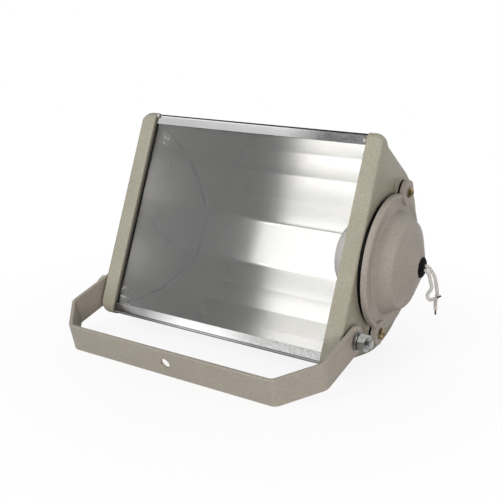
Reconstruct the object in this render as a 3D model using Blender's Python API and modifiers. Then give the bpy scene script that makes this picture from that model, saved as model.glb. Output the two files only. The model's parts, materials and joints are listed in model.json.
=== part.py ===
"""Trough floodlight: cast cheeks, sheet trough behind flat glass, domed lamp cover, U bracket.

Metres, +Z up. The glass faces -Y and leans back. The bracket's cross bar stands in front of
the housing and the cheeks' rear corners stand behind it, both on the ground plane.
Housing pieces are drawn in the housing's own frame: X across, Y back from the front strips'
face, Z up the front. The frame hangs on the pivot axis, so the housing tilts as one.
"""
import math

import bmesh
import bpy
from mathutils import Matrix, Vector

# Clearance between pieces that touch
GAP = 0.0003

# Rest pose: how far the bracket's arms point below the housing's forward direction
ARM_FOLD = math.radians(37.2)

# Cheeks
SPAN = 0.310
STRIP = 0.019
STRIP_THICK = 0.003
RIM_WALL = 0.0045
SIDE_WALL = 0.005
SIDE_DRAFT = math.radians(2.87)
RIM_ROUND = 0.010
STRIP_ROUND = 0.003
HALF_HEIGHT = 0.1205
FRONT_ROUND = 0.007
LIP_DEPTH = 0.014
LIP_FALL = 0.0015
LIP_ROUND = 0.006
NECK_DEPTH = 0.022
NECK_DROP = 0.0068
NECK_ROUND = 0.009
REAR_RADIUS = 0.104

# Lamp cover, on an axis square to the drafted side face; heights are above that face
COVER_DEPTH = 0.0672
COVER_LIFT = -0.0008
COVER_RADIUS = 0.0720
COVER_WALL = 0.0035
CAP_EDGE = 0.0120
CAP_HEIGHT = 0.0424
CAP_ROUND = 0.002
SHOULDER_RADIUS = 0.0425
SHOULDER_HEIGHT = 0.0302
SHOULDER_ROUND = 0.009
FLANGE_WIDTH = 0.0121
VALLEY_HEIGHT = 0.0116
VALLEY_ROUND = 0.004
FLANGE_LIFT = 0.0068
RIM_BEAD = 0.0056
BEAD_FOOT = 0.0045
INNER_STEP = 0.0045
EAR_BEYOND = 0.0035
EAR_TURN = math.radians(0.4)
EAR_RADIUS = 0.0127
EAR_TOP = 0.0132
EAR_ROOT = 0.985
EAR_EDGE = 0.0005
PAD_SPREAD = 0.004
GASKET_EDGE = 0.0050
GASKET_WIDTH = 0.0085
OPENING_EDGE = 0.0025
GASKET_TAB = 0.0015

# Cable grommet and leads
GROMMET_RADIUS = 0.0110
GROMMET_NECK = 0.0080
GROMMET_FLANGE = 0.0012
GROMMET_NOSE = 0.0018
GROMMET_TAIL = 0.002
GROMMET_LIP = 0.0015
LEAD_DIAMETER = 0.0036
LEAD_PITCH = 0.0046
LEAD_STRAIGHT = 0.0015
BARE_DIAMETER = 0.0016
BARE_LENGTH = 0.0045

# Cover screws, pan head M6
COVER_SCREW = 0.0030
COVER_SCREW_HEAD = 0.0059
COVER_SCREW_HEAD_HEIGHT = 0.0038
COVER_SCREW_LENGTH = 0.024

# Rails, glass and seals
RAIL_DROP = 0.0019
RAIL_FACE = 0.0121
RAIL_DEPTH = 0.0185
RAIL_FOOT = 0.012
RAIL_SHEET = 0.0015
RAIL_ROUND = 0.0038
GLASS_THICK = 0.004
GLASS_COVER = 0.006
SEAL_STRIP = 0.0125
SEAL_SHOWS = 0.0014
BEAD_SIZE = (0.0020, 0.0014, 0.0027)
BEAD_LEFT_DROP = 0.0030
BEAD_RIGHT_DROP = 0.0085

# Trough
SHELL_SHEET = 0.0012
SHELL_FRONT = 0.012
SHELL_OVERLAP = 0.005
REFLECTOR_SHEET = 0.0008
REFLECTOR_REAR_ROOM = 0.0292
REFLECTOR_BACK_HALF = 0.028
REFLECTOR_BENDS = ((-0.0252, 0.0116), (0.0168, 0.0226), (0.0488, 0.0358))
REFLECTOR_BEND_ROUND = 0.012
END_PLATE = 0.0008
HOLDER_HOLE_GAP = 0.002

# Tie rods
ROD_RADIUS = 0.003
ROD_GRIP = 0.005
ROD_BOSS = 0.0062
ROD_INSET = 0.0177
ROD_TURN = math.radians(64)

# Lampholder
HOLDER_LENGTH = 0.0560
HOLDER_WALL = 0.0118
HOLDER_STEP = 0.0060
HOLDER_FOOT_LENGTH = 0.018
HOLDER_FLOOR = 0.014
HOLDER_NOSE = 0.006
HOLDER_EDGE = 0.002
MOUTH_EDGE = 0.0015
SOCKET_RADIUS = 0.0212
SOCKET_SHELL = 0.0008
SOCKET_SHELL_INSET = 0.003
CONTACT_RADIUS = 0.0075
CONTACT_HEIGHT = 0.004
CONTACT_FOOT = 0.0012
HOLDER_SCREW_REACH = 0.014
HOLDER_SCREW = 0.0020
HOLDER_SCREW_HEAD = 0.0036
HOLDER_SCREW_HEAD_HEIGHT = 0.0024
HOLDER_SCREW_LENGTH = 0.009

# Strap that carries the lampholder
STRAP_THICK = 0.002
STRAP_WIDTH = 0.026
STRAP_HOLE = 0.009
STRAP_SCREW_ROOM = 0.0065
STRAP_SCREW = 0.0025
STRAP_SCREW_HEAD = 0.0045
STRAP_SCREW_HEAD_HEIGHT = 0.003
STRAP_SCREW_LENGTH = 0.0055
STRAP_BOSS = 0.0055
STRAP_BOSS_LENGTH = 0.0060

# Bracket
ARM_ROOM = 0.003
BRACKET_STRAP = 0.004
BRACKET_WIDTH = 0.031
BRACKET_REACH = 0.1053
BRACKET_CUT_X = 0.0325
BRACKET_CUT_Y = 0.0407
BRACKET_BEND = 0.009
BRACKET_HOLE = 0.0055
BRACKET_EDGE = 0.0006

# Pivots, M10
PIVOT_DEPTH = 0.01905
PIVOT_DROP = 0.0882
PIVOT_BOLT = 0.005
PIVOT_HEAD_FLATS = 0.017
PIVOT_HEAD_HEIGHT = 0.0064
PIVOT_BOSS = 0.0125
WASHER_RADIUS = 0.0098
WASHER_THICK = 0.0012
SPRING_WASHER_RADIUS = 0.00905
SPRING_WASHER_THICK = 0.0022
NUT_HEIGHT = 0.0084
BOLT_BEYOND_NUT = 0.0045

# Places that follow from the sizes above
SIDE = SPAN / 2
INNER_EDGE = SIDE - STRIP
RAIL_HALF_HEIGHT = HALF_HEIGHT - RAIL_DROP
RAIL_FRONT = STRIP_THICK + GAP
GLASS_FRONT = RAIL_FRONT + RAIL_SHEET + GAP
GLASS_BACK = GLASS_FRONT + GLASS_THICK
DRAFT = math.tan(SIDE_DRAFT)
COVER_FACE = SIDE - DRAFT * COVER_DEPTH
VALLEY_RADIUS = COVER_RADIUS - FLANGE_WIDTH
EAR_REACH = COVER_RADIUS + EAR_BEYOND
GASKET_OUTER = COVER_RADIUS - GASKET_EDGE
GASKET_INNER = GASKET_OUTER - GASKET_WIDTH
LAMP_OPENING = GASKET_INNER - OPENING_EDGE
HOLDER_RADIUS = SOCKET_RADIUS + HOLDER_WALL
HOLDER_FOOT_RADIUS = HOLDER_RADIUS - HOLDER_STEP
SOCKET_DEPTH = HOLDER_LENGTH - HOLDER_FLOOR
STRAP_SCREW_REACH = HOLDER_FOOT_RADIUS + STRAP_SCREW_ROOM
CAP_FALL = (CAP_HEIGHT - SHOULDER_HEIGHT) / (SHOULDER_RADIUS - CAP_EDGE)
BOSS_ROOT = CAP_HEIGHT - CAP_FALL * (STRAP_SCREW_REACH + STRAP_BOSS - CAP_EDGE) - COVER_WALL
BOSS_FACE = BOSS_ROOT - STRAP_BOSS_LENGTH
STRAP_FACE = BOSS_FACE - GAP - STRAP_THICK
HOLDER_BACK = STRAP_FACE - GAP
HOLDER_MOUTH = HOLDER_BACK - HOLDER_LENGTH
PLATE_FACE = INNER_EDGE - GAP - END_PLATE
ARM_INNER = SIDE + ARM_ROOM
ARM_OUTER = ARM_INNER + BRACKET_STRAP
ROUND_STEP = math.radians(20)
LARGE_ROUND = 0.030
LARGE_ROUND_STEP = math.radians(6)

for old in list(bpy.data.objects):
    bpy.data.objects.remove(old, do_unlink=True)

parts = bpy.data.collections.new("floodlight")
cutters = bpy.data.collections.new("cutters")
bpy.context.scene.collection.children.link(parts)
bpy.context.scene.collection.children.link(cutters)


# Materials

def material(name, colour, roughness, metallic):
    made = bpy.data.materials.new(name)
    made.use_nodes = True
    shader = made.node_tree.nodes["Principled BSDF"]
    shader.inputs["Base Color"].default_value = (*colour, 1.0)
    shader.inputs["Roughness"].default_value = roughness
    shader.inputs["Metallic"].default_value = metallic
    return made


CHEEK_PAINT = material("cheek_paint", (0.36, 0.34, 0.27), 0.55, 0.0)
COVER_PAINT = material("cover_paint", (0.37, 0.33, 0.28), 0.55, 0.0)
BRACKET_PAINT = material("bracket_paint", (0.34, 0.30, 0.26), 0.55, 0.0)
RAIL_SHEET_METAL = material("rail_sheet", (0.75, 0.76, 0.77), 0.3, 1.0)
SHELL_METAL = material("shell_sheet", (0.62, 0.63, 0.64), 0.45, 1.0)
REFLECTOR_METAL = material("reflector_sheet", (0.82, 0.83, 0.84), 0.15, 1.0)
CLEAR_GLASS = material("clear_glass", (0.9, 0.93, 0.92), 0.03, 0.0)
BLACK_RUBBER = material("black_rubber", (0.015, 0.015, 0.015), 0.7, 0.0)
WHITE_SILICONE = material("white_silicone", (0.80, 0.79, 0.74), 0.5, 0.0)
YELLOW_ZINC = material("yellow_zinc", (0.50, 0.42, 0.22), 0.35, 1.0)
BRIGHT_ZINC = material("bright_zinc", (0.60, 0.61, 0.62), 0.35, 1.0)
PORCELAIN = material("porcelain", (0.78, 0.72, 0.68), 0.25, 0.0)
BRASS = material("brass", (0.70, 0.52, 0.22), 0.3, 1.0)
TINNED_COPPER = material("tinned_copper", (0.30, 0.25, 0.22), 0.5, 1.0)


# Outlines in the housing's Y and Z

def arc_steps(turn, radius):
    """How many straight steps stand for an arc."""
    return max(1, math.ceil(turn / (LARGE_ROUND_STEP if radius > LARGE_ROUND else ROUND_STEP)))


def rounded(corners, closed):
    """Points of a polygon whose corners (y, z, radius) are turned into arcs; arcs that meet share a point."""
    points = []
    count = len(corners)
    for i, (y, z, radius) in enumerate(corners):
        here = Vector((y, z))
        if not closed and i in (0, count - 1):
            points.append(here)
            continue
        before = (Vector(corners[i - 1][:2]) - here).normalized()
        after = (Vector(corners[(i + 1) % count][:2]) - here).normalized()
        turn = math.pi - before.angle(after)
        if radius <= 0 or turn < 1e-4:
            points.append(here)
            continue
        back = radius * math.tan(turn / 2)
        start = here + before * back
        inward = (before + after).normalized()
        centre = here + inward * (radius / math.cos(turn / 2))
        steps = arc_steps(turn, radius)
        spoke = start - centre
        sign = 1.0 if before.cross(after) < 0 else -1.0
        for k in range(steps + 1):
            angle = sign * turn * k / steps
            points.append(centre + Matrix.Rotation(angle, 2) @ spoke)
    return [p for i, p in enumerate(points) if i == 0 or (p - points[i - 1]).length > GAP / 10]


def offset_corners(corners, distances, closed):
    """Move each side of a polygon to its left by its own distance; arcs keep their centres."""
    count = len(corners)
    sides = []
    for i in range(count if closed else count - 1):
        a = Vector(corners[i][:2])
        b = Vector(corners[(i + 1) % count][:2])
        along = (b - a).normalized()
        left = Vector((-along.y, along.x))
        sides.append((a + left * distances[i], along))
    moved = []
    for i, (y, z, radius) in enumerate(corners):
        if not closed and i == 0:
            moved.append((*sides[0][0], radius))
            continue
        if not closed and i == count - 1:
            length = (Vector(corners[i][:2]) - Vector(corners[i - 1][:2])).length
            moved.append((*(sides[-1][0] + sides[-1][1] * length), radius))
            continue
        (p, d), (q, e) = sides[i - 1], sides[i]
        cross = d.x * e.y - d.y * e.x
        where = p + d * (((q - p).x * e.y - (q - p).y * e.x) / cross)
        distance = max(distances[i - 1], distances[i])
        grown = radius - distance if cross > 0 else radius + distance
        moved.append((*where, max(grown, 0.0006)))
    return moved


def neck():
    return Vector((NECK_DEPTH, HALF_HEIGHT - NECK_DROP))


def touch_angle():
    """Direction from the lamp axis to where the straight slope runs into the round back."""
    reach = neck() - Vector((COVER_DEPTH, 0.0))
    return math.atan2(reach.y, reach.x) - math.acos(REAR_RADIUS / reach.length)


def slope():
    """Fall of the cheek's straight rim for each metre of depth."""
    return 1 / math.tan(touch_angle())


def slope_height(depth):
    """Height of the cheek's sloping rim at a depth behind the front."""
    return neck().y - (depth - NECK_DEPTH) * slope()


def outline_height(depth):
    """Height of the cheek's outline at a depth: the straight slope, then the round back."""
    behind = depth - COVER_DEPTH
    if behind < REAR_RADIUS * math.cos(touch_angle()):
        return slope_height(depth)
    return math.sqrt(REAR_RADIUS ** 2 - behind ** 2)


def rear_corner():
    """Corner whose arc is the round back, concentric with the lamp's axis."""
    return (COVER_DEPTH + REAR_RADIUS, REAR_RADIUS * math.tan(touch_angle() / 2), REAR_RADIUS)


def mirrored(upper):
    """Corners of the lower half, in the order that closes the outline."""
    return [(y, -z, radius) for y, z, radius in reversed(upper)]


def cheek_corners():
    """Cheek outline, clockwise from the foot of the front strip: lip, neck, slope and back."""
    upper = [
        (0.0, HALF_HEIGHT, FRONT_ROUND),
        (LIP_DEPTH, HALF_HEIGHT - LIP_FALL, LIP_ROUND),
        (*neck(), NECK_ROUND),
        rear_corner(),
    ]
    return mirrored(upper)[-1:] + upper + mirrored(upper)[:-1]


def cheek_ring(front_inset, rim_inset):
    """The cheek's outline moved inwards, as points, always as many."""
    corners = cheek_corners()
    distances = [-front_inset] + [-rim_inset] * (len(corners) - 1)
    return rounded_like(offset_corners(corners, distances, True), rounded_steps(corners))


def rounded_steps(corners):
    """How many steps each arc of an outline has."""
    steps = []
    count = len(corners)
    for i, (y, z, radius) in enumerate(corners):
        here = Vector((y, z))
        before = Vector(corners[i - 1][:2]) - here
        after = Vector(corners[(i + 1) % count][:2]) - here
        steps.append(arc_steps(math.pi - before.angle(after), radius))
    return steps


def rounded_like(corners, steps):
    """Arc points with a given number of steps at each corner; arcs share a side too short for both."""
    count = len(corners)
    places = [Vector(corner[:2]) for corner in corners]
    sides = [places[(i + 1) % count] - places[i] for i in range(count)]
    turns = [sides[i - 1].angle(sides[i]) for i in range(count)]
    backs = [corners[i][2] * math.tan(turns[i] / 2) for i in range(count)]
    points = []
    for i in range(count):
        following = (i + 1) % count
        room = 0.9998 * backs[i] * min(sides[i - 1].length / (backs[i] + backs[i - 1]),
                                       sides[i].length / (backs[i] + backs[following]))
        back = min(backs[i], room)
        before = -sides[i - 1].normalized()
        after = sides[i].normalized()
        radius = back / math.tan(turns[i] / 2)
        centre = places[i] + (before + after).normalized() * (radius / math.cos(turns[i] / 2))
        spoke = places[i] + before * back - centre
        sign = 1.0 if before.cross(after) < 0 else -1.0
        for k in range(steps[i] + 1):
            points.append(centre + Matrix.Rotation(sign * turns[i] * k / steps[i], 2) @ spoke)
    return points


def trough_corners(front, inset):
    """Open line of a sheet that runs inside the rims, from the top front round to the bottom."""
    upper = [(front, slope_height(front), 0.0), rear_corner()]
    line = upper + mirrored(upper)
    moved = offset_corners(line, [-inset] * (len(line) - 1), False)
    height = moved[1][1] + (moved[1][0] - front) * slope()
    moved[0] = (front, height, 0.0)
    moved[-1] = (front, -height, 0.0)
    return moved


# Building blocks

def link(obj, mat=None, parent=None, location=(0, 0, 0), rotation=(0, 0, 0), cutter=False):
    """Put an object in its collection, under its parent, with its material."""
    (cutters if cutter else parts).objects.link(obj)
    obj.parent = parent
    obj.location = location
    obj.rotation_euler = rotation
    if mat is not None:
        obj.data.materials.clear()
        obj.data.materials.append(mat)
    if cutter:
        obj.hide_render = True
        obj.display_type = "WIRE"
    return obj


def mesh_object(name, bm):
    """Object from a bmesh, with its faces turned outwards."""
    bmesh.ops.recalc_face_normals(bm, faces=bm.faces[:])
    mesh = bpy.data.meshes.new(name)
    bm.to_mesh(mesh)
    bm.free()
    return bpy.data.objects.new(name, mesh)


def smooth(obj, degrees=35):
    """Shade the rounds smooth and keep the corners sharp."""
    obj.data.shade_smooth()
    obj.data.set_sharp_from_angle(angle=math.radians(degrees))


def evaluated(obj):
    """Mesh of an object with its modifiers applied, still in its own frame."""
    bpy.context.view_layer.update()
    graph = bpy.context.evaluated_depsgraph_get()
    return bpy.data.meshes.new_from_object(obj.evaluated_get(graph))


def boolean(obj, operand, operation):
    """Live Boolean with another object."""
    cut = obj.modifiers.new(operation.lower(), "BOOLEAN")
    cut.operation = operation
    cut.solver = "EXACT"
    cut.object = operand


def solidify(obj, thickness, offset):
    shell = obj.modifiers.new("sheet", "SOLIDIFY")
    shell.thickness = thickness
    shell.offset = offset
    shell.use_even_offset = True


def along_x(radius, start, end, segments=24):
    """Matrix and sizes of a cylinder that runs along X."""
    middle = Matrix.Translation(((start + end) / 2, 0, 0)) @ Matrix.Rotation(math.pi / 2, 4, "Y")
    return dict(cap_ends=True, segments=segments, radius1=radius, radius2=radius,
                depth=abs(end - start), matrix=middle)


def add_rod(bm, radius, start, end, y=0.0, z=0.0, segments=24):
    """Add a cylinder along X to a bmesh."""
    rod = along_x(radius, start, end, segments)
    rod["matrix"] = Matrix.Translation((0, y, z)) @ rod["matrix"]
    bmesh.ops.create_cone(bm, **rod)


def add_box(bm, low, high):
    """Add a box between two corners to a bmesh."""
    size = Vector(high) - Vector(low)
    middle = (Vector(high) + Vector(low)) / 2
    matrix = Matrix.Translation(middle) @ Matrix.Diagonal((*size, 1.0))
    bmesh.ops.create_cube(bm, size=1.0, matrix=matrix)


def rods(name, places, parent, **kwargs):
    """Hidden operand made of cylinders along X: (radius, start, end, y, z)."""
    bm = bmesh.new()
    for radius, start, end, y, z in places:
        add_rod(bm, radius, start, end, y, z, kwargs.get("segments", 24))
    return link(mesh_object(name, bm), parent=parent, location=kwargs.get("location", (0, 0, 0)), cutter=True)


def turned(name, profile, mat, parent, location=(0, 0, 0), steps=32, cutter=False):
    """Solid of revolution about X. The profile (radius, x) runs down its outer side."""
    bm = bmesh.new()
    last = None
    first = None
    for radius, x in profile:
        vert = bm.verts.new((radius, 0, x))
        if last is not None:
            bm.edges.new((last, vert))
        else:
            first = vert
        last = vert
    if profile[0][0] > 0 and profile[-1][0] > 0:
        bm.edges.new((last, first))
    mesh = bpy.data.meshes.new(name)
    bm.to_mesh(mesh)
    bm.free()
    obj = bpy.data.objects.new(name, mesh)
    screw = obj.modifiers.new("turn", "SCREW")
    screw.axis = "Z"
    screw.steps = steps
    screw.render_steps = steps
    screw.use_merge_vertices = True
    screw.merge_threshold = 0.00001
    link(obj, mat, parent, location, (0, math.pi / 2, 0), cutter)
    return obj


def bent_sheet(name, points, thickness, offset, x_from, x_to, mat, parent):
    """Sheet metal bent along a line in Y and Z, from one X to another."""
    bm = bmesh.new()
    rows = []
    for x in (x_from, x_to):
        rows.append([bm.verts.new((x, y, z)) for y, z in points])
    for i in range(len(points) - 1):
        bm.faces.new((rows[0][i], rows[0][i + 1], rows[1][i + 1], rows[1][i]))
    mesh = bpy.data.meshes.new(name)
    bm.to_mesh(mesh)
    bm.free()
    obj = bpy.data.objects.new(name, mesh)
    link(obj, mat, parent)
    solidify(obj, thickness, offset)
    smooth(obj)
    return obj


def plate(name, points, x_from, x_to, mat, parent):
    """Flat plate across the housing with an outline in Y and Z."""
    bm = bmesh.new()
    face = bm.faces.new([bm.verts.new((x_from, y, z)) for y, z in points])
    grown = bmesh.ops.extrude_face_region(bm, geom=[face])
    moved = [item for item in grown["geom"] if isinstance(item, bmesh.types.BMVert)]
    bmesh.ops.translate(bm, verts=moved, vec=(x_to - x_from, 0, 0))
    return link(mesh_object(name, bm), mat, parent)


def copies(mesh, places, mat, parent):
    """One object for each name, all sharing a mesh: (name, location, rotation)."""
    mesh.materials.clear()
    mesh.materials.append(mat)
    pieces = []
    for name, location, rotation in places:
        obj = link(bpy.data.objects.new(name, mesh), None, parent, location, rotation)
        pieces.append(obj)
    smooth(pieces[0])
    return pieces


# Cheeks

def rod_places():
    """Places of the top, bottom and rear rod, on one circle inside the round back."""
    reach = REAR_RADIUS - ROD_INSET
    turns = (ROD_TURN, -ROD_TURN, 0.0)
    return [Vector((COVER_DEPTH + reach * math.cos(a), reach * math.sin(a))) for a in turns]


def drafted(x, depth):
    """X of a point of the cheek once its side, all but the front strip's inner edge, is drafted."""
    share = min(1.0, (x - INNER_EDGE) / (SIDE - SIDE_WALL - INNER_EDGE))
    return x - DRAFT * depth * share


def cheek_blank(name, side, mat, parent):
    """Cast dish: rim rings from the pocket's floor out over the rim to the side face."""
    rings = [(SIDE - SIDE_WALL, cheek_ring(STRIP_THICK, RIM_WALL)),
             (INNER_EDGE, cheek_ring(STRIP_THICK, RIM_WALL)),
             (INNER_EDGE, cheek_ring(0.0, 0.0))]
    steps = 4
    for k in range(steps + 1):
        angle = math.pi / 2 * k / steps
        x = SIDE - RIM_ROUND * (1 - math.sin(angle))
        past = max(0.0, x - (SIDE - STRIP_ROUND))
        front = STRIP_ROUND - math.sqrt(max(0.0, STRIP_ROUND ** 2 - past ** 2))
        rings.append((x, cheek_ring(front, RIM_ROUND * (1 - math.cos(angle)))))
    bm = bmesh.new()
    rows = [[bm.verts.new((side * drafted(x, y), y, z)) for y, z in ring] for x, ring in rings]
    count = len(rows[0])
    for low, high in zip(rows, rows[1:]):
        for i in range(count):
            j = (i + 1) % count
            bm.faces.new((low[i], low[j], high[j], high[i]))
    bm.faces.new(rows[0])
    bm.faces.new(rows[-1])
    bmesh.ops.remove_doubles(bm, verts=bm.verts[:], dist=0.00002)
    obj = link(mesh_object(name, bm), mat, parent)
    smooth(obj, 40)
    return obj


def cheek(name, side, parent, cover=None):
    """Cast cheek with its pivot and rod bosses and, under a lamp cover, the lamp opening."""
    obj = cheek_blank(name, side, CHEEK_PAINT, parent)
    sink = 0.001
    floor = SIDE - SIDE_WALL
    seat = pivot_seat()
    bosses = [(PIVOT_BOSS, seat, ARM_INNER - GAP, PIVOT_DEPTH, -PIVOT_DROP)]
    holes = [(PIVOT_BOLT + GAP, seat - sink, ARM_INNER + sink, PIVOT_DEPTH, -PIVOT_DROP)]
    for y, z in rod_places():
        bosses.append((ROD_BOSS, PLATE_FACE + END_PLATE + GAP, floor - DRAFT * y + sink, y, z))
        holes.append((ROD_RADIUS + GAP, PLATE_FACE, PLATE_FACE + END_PLATE + GAP + ROD_GRIP + GAP, y, z))
    bosses = [(r, side * a, side * b, y, z) for r, a, b, y, z in bosses]
    holes = [(r, side * a, side * b, y, z) for r, a, b, y, z in holes]
    boolean(obj, rods(name + "_bosses", bosses, parent, segments=16), "UNION")
    if cover is not None:
        boolean(obj, cover_seat(cover), "UNION")
        bottom = EAR_TOP - COVER_SCREW_LENGTH
        holes_out = [(COVER_SCREW + GAP, bottom - 2 * sink, EAR_TOP, y, z) for y, z in ear_offsets()]
        holes_out.append((LAMP_OPENING, -2 * SIDE_WALL, SIDE_WALL, 0, 0))
        boolean(obj, rods("cover_clearance", holes_out, cover), "DIFFERENCE")
    boolean(obj, rods(name + "_holes", holes, parent, segments=16), "DIFFERENCE")
    return obj


def pivot_seat():
    """X of the flat inside the cheek on which the pivot bolt's head sits."""
    return SIDE - SIDE_WALL - DRAFT * (PIVOT_DEPTH + PIVOT_BOSS) - GAP


def cover_seat(cover):
    """Hidden operand: soft pads and threaded bosses for the ears, clear of the round gasket."""
    top = FLANGE_LIFT - GASKET_TAB - 2 * GAP
    base = -SIDE_WALL / 2
    bm = bmesh.new()
    for y, z in ear_offsets():
        place = Matrix.Translation(((base + top) / 2, y, z)) @ Matrix.Rotation(math.pi / 2, 4, "Y")
        bmesh.ops.create_cone(bm, cap_ends=True, segments=32, radius1=EAR_RADIUS + PAD_SPREAD,
                              radius2=EAR_RADIUS - EAR_EDGE, depth=top - base, matrix=place)
    seat = link(mesh_object("cover_seat", bm), parent=cover, cutter=True)
    room = [(GASKET_OUTER + GAP, base / 2, 2 * top, 0, 0)]
    boolean(seat, rods("gasket_room", room, cover, segments=48), "DIFFERENCE")
    bottom = EAR_TOP - COVER_SCREW_LENGTH - 2 * GAP
    threads = [(COVER_SCREW + RIM_WALL, bottom, base / 2, y, z) for y, z in ear_offsets()]
    boolean(seat, rods("cover_threads", threads, cover), "UNION")
    return seat


# Trough, glass and seals

def rail(name, up, parent):
    """Sheet rail: a lip over the glass, a web back, and a foot that lies on the shell."""
    top = RAIL_HALF_HEIGHT
    front = RAIL_FRONT
    back = front + RAIL_DEPTH
    shell = trough_corners(SHELL_FRONT, RIM_WALL + GAP)
    above = (RAIL_SHEET + GAP) * math.hypot(1, slope())

    def foot(depth):
        return shell[0][1] + (SHELL_FRONT - depth) * slope() + above

    end = back + RAIL_FOOT
    corners = [
        (front, top - RAIL_FACE, 0.0),
        (front, top, RAIL_ROUND),
        (back, top, RAIL_ROUND),
        (back, foot(back), RAIL_SHEET),
        (end, foot(end), 0.0),
    ]
    points = [Vector((p.x, up * p.y)) for p in rounded(corners, False)]
    half = INNER_EDGE - GAP
    return bent_sheet(name, points, RAIL_SHEET, up, -half, half, RAIL_SHEET_METAL, parent)


def housing_shell(parent):
    """Sheet round the back, let into both cheeks' rims."""
    points = rounded(trough_corners(SHELL_FRONT, RIM_WALL + GAP), False)
    half = INNER_EDGE + SHELL_OVERLAP
    return bent_sheet("housing_shell", points, SHELL_SHEET, 1, -half, half, SHELL_METAL, parent)


def reflector(parent):
    """Bright trough in flat facets; its bends are placed from the lamp and the cheek's outline."""
    front = GLASS_BACK + GAP
    under = trough_corners(front, RIM_WALL + 2 * GAP + SHELL_SHEET)
    upper = [(front, under[0][1], 0.0)]
    for behind, inset in REFLECTOR_BENDS:
        depth = COVER_DEPTH + behind
        upper.append((depth, outline_height(depth) - inset, REFLECTOR_BEND_ROUND))
    back = COVER_DEPTH + REAR_RADIUS - REFLECTOR_REAR_ROOM
    upper.append((back, REFLECTOR_BACK_HALF, REFLECTOR_BEND_ROUND))
    points = rounded(upper + mirrored(upper), False)
    half = PLATE_FACE - GAP
    return bent_sheet("reflector", points, REFLECTOR_SHEET, 1, -half, half, REFLECTOR_METAL, parent)


def end_plate(name, side, parent, cover=None):
    """Plate that closes the trough, held by the tie rods; the lampholder passes the right one."""
    front = GLASS_BACK + GAP
    corners = trough_corners(front, RIM_WALL + 2 * GAP + SHELL_SHEET)
    near, far = side * PLATE_FACE, side * (PLATE_FACE + END_PLATE)
    obj = plate(name, rounded(corners, False), near, far, REFLECTOR_METAL, parent)
    beyond = side * END_PLATE
    holes = [(ROD_RADIUS + GAP, near - beyond, far + beyond, y, z) for y, z in rod_places()]
    boolean(obj, rods(name + "_holes", holes, parent, segments=16), "DIFFERENCE")
    if cover is not None:
        room = [(HOLDER_RADIUS + HOLDER_HOLE_GAP, HOLDER_MOUTH - SIDE_WALL, 0, 0, 0)]
        boolean(obj, rods("holder_room", room, cover, segments=32), "DIFFERENCE")
    return obj


def front_glass(parent):
    half_width = INNER_EDGE + GLASS_COVER
    half_height = HALF_HEIGHT - LIP_FALL - RIM_WALL - GAP
    bm = bmesh.new()
    add_box(bm, (-half_width, GLASS_FRONT, -half_height), (half_width, GLASS_BACK, half_height))
    return link(mesh_object("front_glass", bm), CLEAR_GLASS, parent)


def glass_seal(name, side, parent):
    """Rubber strip between a cheek's front strip and the glass, showing as a dark line."""
    half_height = RAIL_HALF_HEIGHT - RAIL_FACE - GAP
    inner = INNER_EDGE - SEAL_SHOWS
    bm = bmesh.new()
    xs = sorted((side * inner, side * (inner + SEAL_STRIP)))
    add_box(bm, (xs[0], RAIL_FRONT, -half_height), (xs[1], GLASS_FRONT - GAP, half_height))
    return link(mesh_object(name, bm), BLACK_RUBBER, parent)


def corner_sealant(name, side, drop, parent):
    """Silicone bead in a top corner, on the rail and against the cheek's strip."""
    wide, deep, high = BEAD_SIZE
    place = (side * (INNER_EDGE - GAP - wide), RAIL_FRONT - GAP - deep, RAIL_HALF_HEIGHT - drop)
    bm = bmesh.new()
    bmesh.ops.create_uvsphere(bm, u_segments=10, v_segments=6, radius=1.0,
                              matrix=Matrix.Translation(place) @ Matrix.Diagonal((*BEAD_SIZE, 1.0)))
    obj = link(mesh_object(name, bm), WHITE_SILICONE, parent)
    smooth(obj, 60)
    return obj


def tie_rods(parent):
    """Rods that clamp the cheeks on the end plates and the shell."""
    half = PLATE_FACE + END_PLATE + GAP + ROD_GRIP
    bm = bmesh.new()
    add_rod(bm, ROD_RADIUS, -half, half, segments=16)
    rod = mesh_object("tie_rod", bm)
    words = ("top", "bottom", "rear")
    places = [("tie_rod_" + word, (0, y, z), (0, 0, 0)) for word, (y, z) in zip(words, rod_places())]
    return copies(rod.data, places, BRIGHT_ZINC, parent)


# Pivots

def hexagon(flats, start, end):
    """Hexagonal prism along X, as a bmesh."""
    bm = bmesh.new()
    add_rod(bm, flats / 2 / math.cos(math.pi / 6), start, end, segments=6)
    return bm


def washer(name, radius, start, thick, parent, place):
    """Flat ring on a pivot bolt, from one X to another."""
    hole = PIVOT_BOLT + GAP
    profile = [(radius, start + thick), (radius, start), (hole, start), (hole, start + thick)]
    return turned(name, profile, BRIGHT_ZINC, parent, place, 24)


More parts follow.
